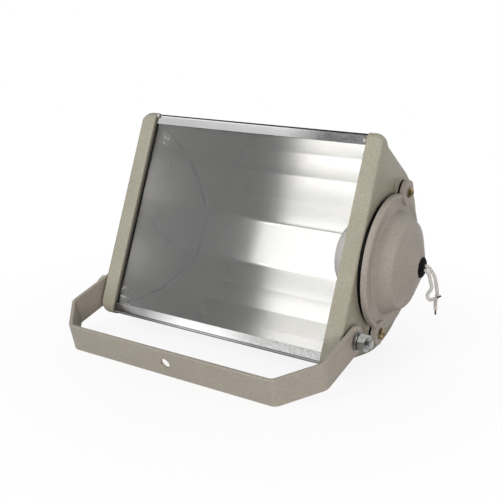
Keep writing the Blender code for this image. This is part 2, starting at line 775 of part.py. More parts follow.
def pivot(side, parent, word):
    """Bolt through cheek and arm, with a flat washer, a spring washer and a nut outside the arm."""
    place = (0, PIVOT_DEPTH, -PIVOT_DROP)
    flat_start = ARM_OUTER + GAP
    spring_start = flat_start + WASHER_THICK + GAP
    nut_start = spring_start + SPRING_WASHER_THICK + GAP
    nut_end = nut_start + NUT_HEIGHT
    head_end = pivot_seat() - GAP
    chamfer = PIVOT_BOLT * 0.2
    tip = nut_end + BOLT_BEYOND_NUT
    bolt = turned("pivot_bolt_" + word, [
        (0.0, tip), (PIVOT_BOLT - chamfer, tip), (PIVOT_BOLT, tip - chamfer),
        (PIVOT_BOLT, head_end - GAP), (0.0, head_end - GAP)], BRIGHT_ZINC, parent, place, 20)
    head = link(mesh_object("pivot_head_" + word, hexagon(PIVOT_HEAD_FLATS, head_end - PIVOT_HEAD_HEIGHT, head_end)),
                parent=parent, location=place, cutter=True)
    boolean(bolt, head, "UNION")
    flat = washer("pivot_washer_" + word, WASHER_RADIUS, flat_start, WASHER_THICK, parent, place)
    spring = washer("pivot_spring_washer_" + word, SPRING_WASHER_RADIUS, spring_start,
                    SPRING_WASHER_THICK, parent, place)
    nut = link(mesh_object("pivot_nut_" + word, hexagon(PIVOT_HEAD_FLATS, nut_start, nut_end)),
               BRIGHT_ZINC, parent, place)
    bore = rods("pivot_bore_" + word, [(PIVOT_BOLT + GAP, nut_start - NUT_HEIGHT, nut_end + NUT_HEIGHT, 0, 0)],
                parent, location=place, segments=20)
    boolean(nut, bore, "DIFFERENCE")
    pieces = [bolt, flat, spring, nut]
    if side < 0:
        for piece in pieces + [head, bore]:
            piece.rotation_euler.z += math.pi
    for piece in pieces:
        smooth(piece)
    return pieces


# Lamp cover and what it carries; drawn in a frame on the cover's axis

def cover_profile():
    """Radius and height of the cover's section: outer face from the grommet hole, then inner."""
    hole = GROMMET_NECK + GAP
    bead = RIM_BEAD / 2
    rim = (COVER_RADIUS - bead, FLANGE_LIFT + bead)
    outer = rounded([
        (hole, CAP_HEIGHT, 0.0),
        (CAP_EDGE, CAP_HEIGHT, CAP_ROUND),
        (SHOULDER_RADIUS, SHOULDER_HEIGHT, SHOULDER_ROUND),
        (VALLEY_RADIUS, VALLEY_HEIGHT, VALLEY_ROUND),
        (rim[0] - BEAD_FOOT, VALLEY_HEIGHT, bead),
        (rim[0], rim[1] + bead, 0.0),
    ], False)
    beading = [Vector(rim) + Vector((math.sin(a), math.cos(a))) * bead
               for a in (math.pi * k / 6 for k in range(1, 7))]
    step = VALLEY_RADIUS - INNER_STEP
    inner = rounded([
        (step, FLANGE_LIFT, 0.0),
        (step, FLANGE_LIFT + CAP_ROUND, CAP_ROUND / 2),
        (SHOULDER_RADIUS - CAP_ROUND, SHOULDER_HEIGHT - COVER_WALL, SHOULDER_ROUND / 2),
        (CAP_EDGE, CAP_HEIGHT - COVER_WALL, CAP_ROUND),
        (hole, CAP_HEIGHT - COVER_WALL, 0.0),
    ], False)
    return outer + beading + inner


def capsule(start, end, radius, steps=12):
    """Outline of a slot-shaped lug between two centres, in Y and Z."""
    along = (end - start).normalized()
    heading = math.atan2(along.y, along.x)
    points = []
    for centre, turn in ((end, -math.pi / 2), (start, math.pi / 2)):
        for k in range(steps + 1):
            angle = heading + turn + math.pi * k / steps
            points.append(centre + Vector((math.cos(angle), math.sin(angle))) * radius)
    return points


def lug_operand(name, radius, x_from, x_to, parent):
    """Hidden operand: both ears as lugs that run in to the round flange."""
    bm = bmesh.new()
    for reach in ear_offsets():
        points = capsule(reach * EAR_ROOT, reach, radius)
        face = bm.faces.new([bm.verts.new((x_from, y, z)) for y, z in points])
        grown = bmesh.ops.extrude_face_region(bm, geom=[face])
        moved = [item for item in grown["geom"] if isinstance(item, bmesh.types.BMVert)]
        bmesh.ops.translate(bm, verts=moved, vec=(x_to - x_from, 0, 0))
    return link(mesh_object(name, bm), parent=parent, cutter=True)


def ear_offsets():
    """Centres of the two ears in the cover's own frame."""
    reach = Vector((-math.sin(EAR_TURN), math.cos(EAR_TURN))) * EAR_REACH
    return [reach, -reach]


def side_cover(parent):
    """Domed casting with a beaded flange, two ears and two bosses for the lampholder's strap."""
    cover = turned("side_cover", cover_profile(), COVER_PAINT, parent, steps=36)
    boolean(cover, lug_operand("cover_ears", EAR_RADIUS, FLANGE_LIFT + GAP, EAR_TOP, parent), "UNION")
    bosses = [(STRAP_BOSS, BOSS_FACE, BOSS_ROOT + COVER_WALL / 2, 0, side * STRAP_SCREW_REACH) for side in (-1, 1)]
    boolean(cover, rods("cover_bosses", bosses, parent, segments=16), "UNION")
    holes = [(COVER_SCREW + GAP, 0.0, 2 * EAR_TOP, y, z) for y, z in ear_offsets()]
    holes += [(STRAP_SCREW + GAP, BOSS_FACE - GAP, BOSS_ROOT - GAP, 0, side * STRAP_SCREW_REACH) for side in (-1, 1)]
    boolean(cover, rods("cover_holes", holes, parent, segments=16), "DIFFERENCE")
    smooth(cover, 40)
    return cover


def cover_gasket(parent):
    """Rubber ring under the flange, with a thinner tab under each ear."""
    top = FLANGE_LIFT - GAP
    ring = turned("cover_gasket", [(GASKET_OUTER, top), (GASKET_OUTER, GAP), (GASKET_INNER, GAP), (GASKET_INNER, top)],
                  BLACK_RUBBER, parent, steps=40)
    tabs = lug_operand("gasket_tabs", EAR_RADIUS - EAR_EDGE, top - GASKET_TAB, top, parent)
    boolean(ring, tabs, "UNION")
    holes = [(COVER_SCREW + GAP, 0.0, 2 * top, y, z) for y, z in ear_offsets()]
    holes.append((GASKET_INNER, 0.0, 2 * top, 0, 0))
    boolean(ring, rods("gasket_holes", holes, parent, segments=40), "DIFFERENCE")
    smooth(ring, 40)
    return ring


def pan_screw(radius, head_radius, head_height, length, cross, steps=12):
    """Mesh of a pan-head screw along X: shank from 0 down, head above, with or without a cross recess."""
    head = [(0.0, head_height), (head_radius * 0.45, head_height * 0.96), (head_radius * 0.8, head_height * 0.72),
            (head_radius * 0.97, head_height * 0.38), (head_radius, 0.0)]
    profile = head + [(radius, 0.0), (radius, -length + radius * 0.4), (radius * 0.6, -length), (0.0, -length)]
    obj = turned("screw_form", profile, None, None, steps=steps, cutter=True)
    slots = []
    if cross:
        half, deep = head_radius * 0.12, head_radius * 0.52
        for across, up in ((half, deep), (deep, half)):
            bm = bmesh.new()
            add_box(bm, (head_height * 0.45, -across, -up), (head_height * 2, across, up))
            slots.append(link(mesh_object("screw_slot", bm), cutter=True))
            boolean(obj, slots[-1], "DIFFERENCE")
    bm = bmesh.new()
    bm.from_mesh(evaluated(obj))
    bmesh.ops.transform(bm, matrix=Matrix.Rotation(math.pi / 2, 4, "Y"), verts=bm.verts)
    mesh = mesh_object("screw", bm).data
    for used in [obj] + slots:
        bpy.data.objects.remove(used)
    return mesh


def cover_screws(parent):
    screw = pan_screw(COVER_SCREW, COVER_SCREW_HEAD, COVER_SCREW_HEAD_HEIGHT, COVER_SCREW_LENGTH, True, 16)
    seat = EAR_TOP + GAP
    turns = (math.radians(35), math.radians(10))
    places = [("cover_screw_" + word, (seat, y, z), (turn, 0, 0))
              for word, turn, (y, z) in zip(("top", "bottom"), turns, ear_offsets())]
    return copies(screw, places, YELLOW_ZINC, parent)


def cable_grommet(parent):
    """Rubber grommet: flange on the dome, neck through it, lip inside, and a domed nose."""
    seat = CAP_HEIGHT + GAP
    top = seat + GROMMET_FLANGE
    nose = top + GROMMET_NOSE
    inner = CAP_HEIGHT - COVER_WALL - GAP
    profile = [(0.0, nose), (GROMMET_RADIUS * 0.55, nose), (GROMMET_RADIUS * 0.8, nose - GROMMET_NOSE * 0.45),
               (GROMMET_RADIUS * 0.95, top - GROMMET_NOSE * 0.2), (GROMMET_RADIUS, top - GROMMET_FLANGE * 0.4),
               (GROMMET_RADIUS, seat), (GROMMET_NECK, seat), (GROMMET_NECK, inner),
               (GROMMET_NECK + GROMMET_LIP, inner), (GROMMET_NECK + GROMMET_LIP / 3, inner - GROMMET_TAIL),
               (0.0, inner - GROMMET_TAIL)]
    obj = turned("cable_grommet", profile, BLACK_RUBBER, parent, steps=24)
    smooth(obj, 40)
    return obj


def lampholder(parent):
    """Porcelain holder with its mouth towards the lamp and a narrower foot on the strap."""
    inner, outer = HOLDER_MOUTH, HOLDER_BACK
    foot = outer - HOLDER_FOOT_LENGTH
    edge = HOLDER_EDGE
    mouth = SOCKET_RADIUS + GAP + SOCKET_SHELL
    profile = [(0.0, outer), (HOLDER_FOOT_RADIUS, outer), (HOLDER_FOOT_RADIUS, foot + 1.5 * edge),
               (HOLDER_FOOT_RADIUS + edge / 2, foot + edge / 2), (HOLDER_RADIUS - edge, foot),
               (HOLDER_RADIUS, foot - edge), (HOLDER_RADIUS, inner + HOLDER_NOSE),
               (HOLDER_RADIUS - HOLDER_NOSE * 0.2, inner + HOLDER_NOSE * 0.4),
               (HOLDER_RADIUS - HOLDER_NOSE * 0.67, inner + HOLDER_NOSE * 0.07), (HOLDER_RADIUS - HOLDER_NOSE, inner),
               (mouth + MOUTH_EDGE, inner), (mouth, inner + MOUTH_EDGE),
               (mouth, inner + SOCKET_DEPTH), (0.0, inner + SOCKET_DEPTH)]
    obj = turned("lampholder", profile, PORCELAIN, parent, steps=24)
    reach = HOLDER_SCREW_REACH
    deep = HOLDER_SCREW_LENGTH - STRAP_THICK + HOLDER_SCREW
    holes = [(HOLDER_SCREW + GAP, outer - deep, outer + GAP, side * reach, 0) for side in (-1, 1)]
    boolean(obj, rods("lampholder_holes", holes, parent, segments=12), "DIFFERENCE")
    smooth(obj, 40)
    return obj


def lampholder_shell(parent):
    """Threaded lamp shell, here as its plain sleeve, open at both ends."""
    low = HOLDER_MOUTH + SOCKET_SHELL_INSET
    high = HOLDER_MOUTH + SOCKET_DEPTH - GAP
    outer = SOCKET_RADIUS + SOCKET_SHELL
    profile = [(outer, high), (outer, low), (SOCKET_RADIUS, low), (SOCKET_RADIUS, high)]
    obj = turned("lampholder_shell", profile, BRASS, parent, steps=24)
    smooth(obj, 40)
    return obj


def lampholder_contact(parent):
    """Centre contact on the socket's floor."""
    floor = HOLDER_MOUTH + SOCKET_DEPTH - GAP
    tip = floor - CONTACT_HEIGHT
    profile = [(0.0, floor), (CONTACT_RADIUS, floor), (CONTACT_RADIUS, floor - CONTACT_FOOT),
               (CONTACT_RADIUS * 0.6, tip + CONTACT_FOOT * 0.8), (CONTACT_RADIUS * 0.35, tip), (0.0, tip)]
    obj = turned("lampholder_contact", profile, BRASS, parent, steps=20)
    smooth(obj, 40)
    return obj


def holder_strap(parent):
    """Steel strap between the cover's two bosses, with a hole for the leads."""
    points = capsule(Vector((0, -STRAP_SCREW_REACH)), Vector((0, STRAP_SCREW_REACH)), STRAP_WIDTH / 2)
    half = STRAP_SCREW_REACH + STRAP_BOSS
    points = [Vector((p.x, max(-half, min(half, p.y)))) for p in points]
    clean = [p for i, p in enumerate(points) if (p - points[i - 1]).length > GAP / 2]
    obj = plate("holder_strap", clean, STRAP_FACE, STRAP_FACE + STRAP_THICK, BRIGHT_ZINC, parent)
    near, far = STRAP_FACE - STRAP_THICK, STRAP_FACE + 2 * STRAP_THICK
    holes = [(STRAP_HOLE, near, far, 0, 0)]
    holes += [(STRAP_SCREW + GAP, near, far, 0, side * STRAP_SCREW_REACH) for side in (-1, 1)]
    holes += [(HOLDER_SCREW + GAP, near, far, side * HOLDER_SCREW_REACH, 0) for side in (-1, 1)]
    boolean(obj, rods("strap_holes", holes, parent, segments=14), "DIFFERENCE")
    smooth(obj)
    return obj


def strap_screws(parent):
    """Two screws that hold the strap on the cover's bosses, heads towards the lamp."""
    screw = pan_screw(STRAP_SCREW, STRAP_SCREW_HEAD, STRAP_SCREW_HEAD_HEIGHT, STRAP_SCREW_LENGTH, False)
    places = [("strap_screw_" + word, (STRAP_FACE - GAP, 0, side * STRAP_SCREW_REACH), (0, 0, math.pi))
              for word, side in (("top", 1), ("bottom", -1))]
    return copies(screw, places, BRIGHT_ZINC, parent)


def holder_screws(parent):
    """Two screws through the strap into the lampholder's foot."""
    screw = pan_screw(HOLDER_SCREW, HOLDER_SCREW_HEAD, HOLDER_SCREW_HEAD_HEIGHT, HOLDER_SCREW_LENGTH, False)
    seat = STRAP_FACE + STRAP_THICK + GAP
    places = [("lampholder_screw_" + word, (seat, side * HOLDER_SCREW_REACH, 0), (0, 0, 0))
              for word, side in (("front", -1), ("rear", 1))]
    return copies(screw, places, BRIGHT_ZINC, parent)


# Leads

def spline_points(route, spacing):
    """Evenly spaced points on a smooth curve through a route (Catmull-Rom)."""
    knots = [Vector(p) for p in route]
    knots = [knots[0] * 2 - knots[1]] + knots + [knots[-1] * 2 - knots[-2]]
    dense = []
    for i in range(1, len(knots) - 2):
        a, b, c, d = knots[i - 1:i + 3]
        for k in range(24):
            t = k / 24
            dense.append(0.5 * ((2 * b) + (c - a) * t + (2 * a - 5 * b + 4 * c - d) * t ** 2
                                + (3 * b - a - 3 * c + d) * t ** 3))
    dense.append(knots[-2])
    length = sum((q - p).length for p, q in zip(dense, dense[1:]))
    count = max(4, round(length / spacing))
    points = [dense[0]]
    walked = 0.0
    for p, q in zip(dense, dense[1:]):
        step = (q - p).length
        while len(points) < count and walked + step >= length * len(points) / count:
            points.append(p.lerp(q, (length * len(points) / count - walked) / step))
        walked += step
    points.append(dense[-1])
    return points


def wire(name, points, diameter, mat, parent):
    """Round wire along points, with closed ends."""
    curve = bpy.data.curves.new(name, "CURVE")
    curve.dimensions = "3D"
    curve.bevel_depth = diameter / 2
    curve.bevel_resolution = 1
    curve.use_fill_caps = True
    line = curve.splines.new("POLY")
    line.points.add(len(points) - 1)
    for point, place in zip(line.points, points):
        point.co = (*place, 1.0)
    return link(bpy.data.objects.new(name, curve), mat, parent)


def grommet_face():
    return CAP_HEIGHT + GAP + GROMMET_FLANGE + GROMMET_NOSE


# Each route is in metres from a lead's own start on the grommet's face: out along X, back
# along the ground, and up, as the leads hang in the rest pose.
LEAD_A_ROUTE = [
    (0.0045, 0.0000, -0.0013), (0.0067, 0.0000, -0.0039), (0.0096, 0.0006, -0.0084), (0.0114, 0.0012, -0.0137),
    (0.0125, 0.0016, -0.0190), (0.0141, 0.0016, -0.0286), (0.0129, 0.0012, -0.0353), (0.0132, 0.0008, -0.0417),
    (0.0135, 0.0006, -0.0455),
]
LEAD_B_ROUTE = [
    (0.0040, -0.0002, -0.0020), (0.0059, -0.0004, -0.0053), (0.0075, -0.0010, -0.0100), (0.0092, -0.0016, -0.0139),
    (0.0095, -0.0020, -0.0177), (0.0068, -0.0030, -0.0226), (0.0062, -0.0036, -0.0264), (0.0093, -0.0042, -0.0289),
    (0.0137, -0.0046, -0.0273), (0.0172, -0.0050, -0.0250),
]


def leads(parent):
    """Two silicone leads that leave the grommet and hang, each with a bared end."""
    pieces = []
    unturn = Matrix.Rotation(-SIDE_DRAFT, 3, "Z") @ Matrix.Rotation(rest_tilt(), 3, "X")
    for word, route, lift in (("a", LEAD_A_ROUTE, LEAD_PITCH / 2), ("b", LEAD_B_ROUTE, -LEAD_PITCH / 2)):
        start = Vector((grommet_face() + GAP, 0, lift))
        hang = [start, start + Vector((LEAD_STRAIGHT, 0, 0))]
        hang += [start + unturn @ Vector(p) for p in route]
        points = spline_points(hang, LEAD_DIAMETER * 0.6)
        pieces.append(wire("lead_" + word, points, LEAD_DIAMETER, WHITE_SILICONE, parent))
        way = (points[-1] - points[-2]).normalized()
        bare = [points[-1] + way * GAP, points[-1] + way * (GAP + BARE_LENGTH)]
        pieces.append(wire("lead_%s_end" % word, bare, BARE_DIAMETER, TINNED_COPPER, parent))
    return pieces


def inner_leads(parent):
    """The same two leads inside the cover, from the lampholder's foot through the strap."""
    start = HOLDER_BACK + GAP
    end = CAP_HEIGHT - COVER_WALL - GAP - GROMMET_TAIL - GAP
    pieces = []
    for word, side in (("a", 1), ("b", -1)):
        bm = bmesh.new()
        add_rod(bm, LEAD_DIAMETER / 2, start, end, 0, side * LEAD_PITCH / 2, 12)
        pieces.append(link(mesh_object("inner_lead_" + word, bm), WHITE_SILICONE, parent))
        smooth(pieces[-1])
    return pieces


# Bracket

def bracket_line():
    """Middle line of the bent strap in X and reach: arm, slanted corner, cross bar and back."""
    side = ARM_INNER + BRACKET_STRAP / 2
    bar = BRACKET_REACH - BRACKET_STRAP / 2
    left = [(-side, -BRACKET_WIDTH / 2, 0.0), (-side, bar - BRACKET_CUT_Y, BRACKET_BEND),
            (-side + BRACKET_CUT_X, bar, BRACKET_BEND)]
    right = [(-x, reach, radius) for x, reach, radius in reversed(left)]
    return rounded(left + right, False)


def bracket(parent, location, droop):
    """Flat blank with round ends and three holes, then bent along the line."""
    line = bracket_line()
    marks = [0.0]
    for p, q in zip(line, line[1:]):
        marks.append(marks[-1] + (q - p).length)
    total = marks[-1]
    half = BRACKET_WIDTH / 2
    points = capsule(Vector((half, 0)), Vector((total - half, 0)), half)
    bm = bmesh.new()
    face = bm.faces.new([bm.verts.new((s, across, -BRACKET_STRAP / 2)) for s, across in points])
    grown = bmesh.ops.extrude_face_region(bm, geom=[face])
    moved = [item for item in grown["geom"] if isinstance(item, bmesh.types.BMVert)]
    bmesh.ops.translate(bm, verts=moved, vec=(0, 0, BRACKET_STRAP))
    flat = link(mesh_object("bracket_blank", bm), cutter=True)
    bm = bmesh.new()
    for s, radius in ((half, PIVOT_BOLT + 2 * GAP), (total / 2, BRACKET_HOLE), (total - half, PIVOT_BOLT + 2 * GAP)):
        bmesh.ops.create_cone(bm, cap_ends=True, segments=24, radius1=radius, radius2=radius,
                              depth=BRACKET_STRAP * 3, matrix=Matrix.Translation((s, 0, 0)))
    punch = link(mesh_object("bracket_punch", bm), cutter=True)
    boolean(flat, punch, "DIFFERENCE")
    mesh = evaluated(flat)
    bpy.data.objects.remove(flat)
    bpy.data.objects.remove(punch)
    bm = bmesh.new()
    bm.from_mesh(mesh)
    for mark in marks[1:-1]:
        everything = bm.verts[:] + bm.edges[:] + bm.faces[:]
        bmesh.ops.bisect_plane(bm, geom=everything, dist=1e-6, plane_co=(mark, 0, 0), plane_no=(1, 0, 0))
    for vert in bm.verts:
        vert.co = bend(vert.co, line, marks)
    obj = mesh_object("bracket", bm)
    link(obj, BRACKET_PAINT, parent, location, (droop, 0, 0))
    edge = obj.modifiers.new("edge", "BEVEL")
    edge.width = BRACKET_EDGE
    edge.segments = 1
    edge.limit_method = "ANGLE"
    edge.angle_limit = math.radians(60)
    smooth(obj)
    return obj


def bend(flat, line, marks):
    """Carry a point of the flat blank (length, width, thickness) onto the bent line."""
    index = len(marks) - 2
    for i in range(len(marks) - 1):
        if flat.x <= marks[i + 1] + 1e-6:
            index = i
            break
    along = (line[index + 1] - line[index]).normalized()
    normal = Vector((-along.y, along.x))
    share = (flat.x - marks[index]) / (marks[index + 1] - marks[index])
    place = line[index].lerp(line[index + 1], share)
    if abs(flat.x - marks[index + 1]) < 1e-5 and index + 2 < len(line):
        following = (line[index + 2] - line[index + 1]).normalized()
        next_normal = Vector((-following.y, following.x))
        middle = (normal + next_normal).normalized()
        normal = middle / middle.dot(normal)
    place = place + normal * flat.z
    return Vector((place.x, -place.y, flat.y))


# Rest pose

def bar_corner():
    """The cross bar's lower outer edge, from the pivot, in the housing's Y and Z."""
    along = Vector((-math.cos(ARM_FOLD), -math.sin(ARM_FOLD)))
    down = Vector((math.sin(ARM_FOLD), -math.cos(ARM_FOLD)))
    return along * BRACKET_REACH + down * BRACKET_WIDTH / 2


def rest_tilt():
    """Lean at which the cross bar and the cheeks' round backs stand on the same ground."""
    axis = Vector((COVER_DEPTH - PIVOT_DEPTH, PIVOT_DROP))
    reach = axis - bar_corner()
    return math.atan2(reach.y, reach.x) - math.asin(REAR_RADIUS / reach.length)


def pivot_height(tilt):
    """Height of the pivots above the ground under the cheeks' round backs."""
    axis_lift = PIVOT_DROP * math.cos(tilt) - (COVER_DEPTH - PIVOT_DEPTH) * math.sin(tilt)
    return REAR_RADIUS - axis_lift


def empty(name, parent, location=(0, 0, 0), rotation=(0, 0, 0)):
    obj = bpy.data.objects.new(name, None)
    parts.objects.link(obj)
    obj.parent = parent
    obj.location = location
    obj.rotation_euler = rotation
    return obj


def centre_over_origin(root, pieces):
    """Slide the whole light so that the middle of its box lies over the origin."""
    bpy.context.view_layer.update()
    graph = bpy.context.evaluated_depsgraph_get()
    low = Vector((math.inf, math.inf))
    high = -low
    for piece in pieces:
        body = piece.evaluated_get(graph)
        mesh = body.to_mesh()
        for vert in mesh.vertices:
            place = body.matrix_world @ vert.co
            low = Vector((min(low.x, place.x), min(low.y, place.y)))
            high = Vector((max(high.x, place.x), max(high.y, place.y)))
        body.to_mesh_clear()
    root.location.x = -(low.x + high.x) / 2
    root.location.y = -(low.y + high.y) / 2
    bpy.context.view_layer.update()


def build():
    tilt = rest_tilt()
    height = pivot_height(tilt)
    root = empty("floodlight_frame", None)
    bracket_piece = bracket(root, (0, 0, height), ARM_FOLD - tilt)
    axis = empty("pivot_axis", root, (0, 0, height), (-tilt, 0, 0))
    housing = empty("housing_frame", axis, (0, -PIVOT_DEPTH, PIVOT_DROP))
    cover = empty("cover_frame", housing, (COVER_FACE, COVER_DEPTH, COVER_LIFT), (0, 0, SIDE_DRAFT))
    pieces = [
        bracket_piece,
        cheek("left_cheek", -1, housing),
        cheek("right_cheek", 1, housing, cover),
        rail("top_rail", 1, housing),
        rail("bottom_rail", -1, housing),
        housing_shell(housing),
        reflector(housing),
        end_plate("left_end_plate", -1, housing),
        end_plate("right_end_plate", 1, housing, cover),
        front_glass(housing),
        glass_seal("left_glass_seal", -1, housing),
        glass_seal("right_glass_seal", 1, housing),
        corner_sealant("left_corner_sealant", -1, BEAD_LEFT_DROP, housing),
        corner_sealant("right_corner_sealant", 1, BEAD_RIGHT_DROP, housing),
        side_cover(cover),
        cover_gasket(cover),
        cable_grommet(cover),
        lampholder(cover),
        lampholder_shell(cover),
        lampholder_contact(cover),
        holder_strap(cover),
    ]
    pieces += tie_rods(housing) + cover_screws(cover) + strap_screws(cover) + holder_screws(cover)
    pieces += inner_leads(cover)
    pieces += pivot(-1, housing, "left") + pivot(1, housing, "right")
    leads(cover)
    centre_over_origin(root, pieces)


build()
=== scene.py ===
"""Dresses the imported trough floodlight: textured castings, bright rails, satin trough, leads."""

import json
import math

import bmesh
import bpy
from mathutils import Matrix, Vector, noise

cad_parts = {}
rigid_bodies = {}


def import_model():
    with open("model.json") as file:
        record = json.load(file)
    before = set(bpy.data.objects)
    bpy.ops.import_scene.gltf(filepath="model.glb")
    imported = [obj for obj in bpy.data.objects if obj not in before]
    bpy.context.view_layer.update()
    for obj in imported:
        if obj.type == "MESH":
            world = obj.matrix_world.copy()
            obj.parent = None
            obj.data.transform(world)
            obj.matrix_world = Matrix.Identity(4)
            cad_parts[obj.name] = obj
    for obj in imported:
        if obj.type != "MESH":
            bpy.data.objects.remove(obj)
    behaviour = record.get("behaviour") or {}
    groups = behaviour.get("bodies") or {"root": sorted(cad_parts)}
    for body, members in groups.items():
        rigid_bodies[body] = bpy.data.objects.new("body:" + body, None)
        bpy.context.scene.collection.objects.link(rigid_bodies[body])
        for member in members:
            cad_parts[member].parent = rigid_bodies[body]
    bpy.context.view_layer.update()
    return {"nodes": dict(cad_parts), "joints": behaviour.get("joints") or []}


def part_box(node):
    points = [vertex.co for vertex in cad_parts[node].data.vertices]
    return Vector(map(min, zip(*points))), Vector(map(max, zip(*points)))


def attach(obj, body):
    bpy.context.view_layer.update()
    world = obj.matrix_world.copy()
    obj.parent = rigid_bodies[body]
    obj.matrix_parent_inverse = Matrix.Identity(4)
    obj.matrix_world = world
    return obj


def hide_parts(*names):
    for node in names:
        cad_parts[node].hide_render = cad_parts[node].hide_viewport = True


for old in list(bpy.data.objects):
    bpy.data.objects.remove(old, do_unlink=True)

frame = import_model()

# The light's own frames, with the part's sizes in metres.
# HOUSING: X across, Y back from the front strips, Z up the front. COVER: X out of the dome.

TILT = math.radians(22.7512)
PIVOT = Vector(frame["joints"][0]["pos_m"])
FRONT_FROM_PIVOT = (0, -0.01905, 0.0882)
SIDE = 0.155
SIDE_DRAFT = math.radians(2.87)
COVER_DEPTH = 0.0672
COVER_LIFT = -0.0008
HOUSING = (Matrix.Translation(PIVOT) @ Matrix.Rotation(-TILT, 4, "X")
           @ Matrix.Translation(FRONT_FROM_PIVOT))
COVER = (HOUSING @ Matrix.Translation((SIDE - math.tan(SIDE_DRAFT) * COVER_DEPTH, COVER_DEPTH,
                                       COVER_LIFT))
         @ Matrix.Rotation(SIDE_DRAFT, 4, "Z"))

# Clearance between pieces, and what counts as one point and as one flat in a solid's mesh
GAP = 0.0003
WELD = 2e-6
FLAT = math.radians(0.2)


# Camera

LENS = 62.484
SENSOR = 36.0
CAMERA_PLACE = (0.5070, -0.76906, 0.37167)
CAMERA_TURN = (73.6272, -0.0251, 33.2741)


def camera():
    """Stands where the photograph was taken from, low at the right front."""
    lens = bpy.data.cameras.new("camera")
    lens.lens = LENS
    lens.sensor_width = SENSOR
    lens.clip_start = 0.05
    lens.clip_end = 30.0
    made = bpy.data.objects.new("camera", lens)
    bpy.context.scene.collection.objects.link(made)
    made.location = CAMERA_PLACE
    made.rotation_euler = [math.radians(angle) for angle in CAMERA_TURN]
    bpy.context.scene.camera = made


camera()


# Building blocks

def link(piece):
    bpy.context.scene.collection.objects.link(piece)
    return piece


def mesh_piece(name, bm, material=None, degrees=38):
    """Object of a finished bmesh, smooth on its rounds and sharp at its corners."""
    mesh = bpy.data.meshes.new(name)
    bm.to_mesh(mesh)
    bm.free()
    mesh.shade_smooth()
    mesh.set_sharp_from_angle(angle=math.radians(degrees))
    if material is not None:
        mesh.materials.append(material)
    return link(bpy.data.objects.new(name, mesh))


def settled(piece):
    """Turn a piece's modifiers into plain mesh."""
    bpy.context.view_layer.update()
    graph = bpy.context.evaluated_depsgraph_get()
    mesh = bpy.data.meshes.new_from_object(piece.evaluated_get(graph))
    mesh.name = piece.name
    for modifier in list(piece.modifiers):
        piece.modifiers.remove(modifier)
    piece.data = mesh
    return piece


def fit(piece, body, slot, *nodes):
    """Hang a finished piece on its body in place of the solids it stands for."""
    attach(piece, body)
    if nodes:
        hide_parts(*nodes)
    return piece


def levelled(piece):
    """Let the large flats decide the shading beside rounds."""
    level = piece.modifiers.new("flats", "WEIGHTED_NORMAL")
    level.keep_sharp = True
    level.weight = 80
    return settled(piece)


def welded(node, name, body, slot, material, degrees=38):
    """A merged and smoothed copy of one solid, its flats kept flat."""
    bm = bmesh.new()
    bm.from_mesh(frame["nodes"][node].data)
    bmesh.ops.remove_doubles(bm, verts=bm.verts[:], dist=WELD)
    bmesh.ops.dissolve_limit(bm, angle_limit=FLAT, verts=bm.verts[:], edges=bm.edges[:])
    return fit(levelled(mesh_piece(name, bm, material, degrees)), body, slot, node)


def band(bm, low, high):
    """Faces all the way round between two rings of points."""
    for k in range(len(low)):
        j = (k + 1) % len(low)
        bm.faces.new((low[k], low[j], high[j], high[k]))


def lathe(profile, segments=48):
    """Bmesh turned about X from (radius, x) points that run from one end to the other."""
    bm = bmesh.new()
    turns = [2 * math.pi * k / segments for k in range(segments)]
    rows = []
    for radius, x in profile:
        if radius < 1e-7:
            rows.append([bm.verts.new((x, 0, 0))])
        else:
            rows.append([bm.verts.new((x, radius * math.cos(a), radius * math.sin(a)))
                         for a in turns])
    for low, high in zip(rows, rows[1:]):
        for k in range(segments):
            j = (k + 1) % segments
            ring = [low[k % len(low)], low[j % len(low)], high[j % len(high)], high[k % len(high)]]
            corners = [vert for i, vert in enumerate(ring) if vert not in ring[:i]]
            if len(corners) > 2:
                bm.faces.new(corners)
    if len(rows[0]) > 1 and len(rows[-1]) > 1:
        band(bm, rows[-1], rows[0])
    bmesh.ops.recalc_face_normals(bm, faces=bm.faces[:])
    return bm


def bar(bm, sides, radius, low, high, y=0.0, z=0.0):
    """Add a straight bar along X, from low to high."""
    place = Matrix.Translation(((low + high) / 2, y, z)) @ Matrix.Rotation(math.pi / 2, 4, "Y")
    bmesh.ops.create_cone(bm, cap_ends=True, segments=sides, radius1=radius, radius2=radius,
                          depth=high - low, matrix=place)


def merged(first, second):
    """Put one bmesh's shell beside another's."""
    mesh = bpy.data.meshes.new("shell")
    second.to_mesh(mesh)
    second.free()
    first.from_mesh(mesh)
    bpy.data.meshes.remove(mesh)
    return first


def cut(name, bm, tool, operation="DIFFERENCE"):
    """One bmesh cut by another, as a bmesh."""
    blank = mesh_piece(name, bm)
    cutter = mesh_piece(name + "_tool", tool)
    modifier = blank.modifiers.new("cut", "BOOLEAN")
    modifier.operation = operation
    modifier.solver = "EXACT"
    modifier.object = cutter
    settled(blank)
    out = bmesh.new()
    out.from_mesh(blank.data)
    bpy.data.objects.remove(blank)
    bpy.data.objects.remove(cutter)
    return out


# Geometry Nodes: forms set out on places

def tree_with(name, sockets):
    """Empty node group with named inputs: (name, type, default)."""
    tree = bpy.data.node_groups.new(name, "GeometryNodeTree")
    for way in ("INPUT", "OUTPUT"):
        tree.interface.new_socket("Geometry", in_out=way, socket_type="NodeSocketGeometry")
    for title, kind, default in sockets:
        socket = tree.interface.new_socket(title, in_out="INPUT", socket_type=kind)
        if default is not None:
            socket.default_value = default
    return tree, tree.nodes.new("NodeGroupInput"), tree.nodes.new("NodeGroupOutput")


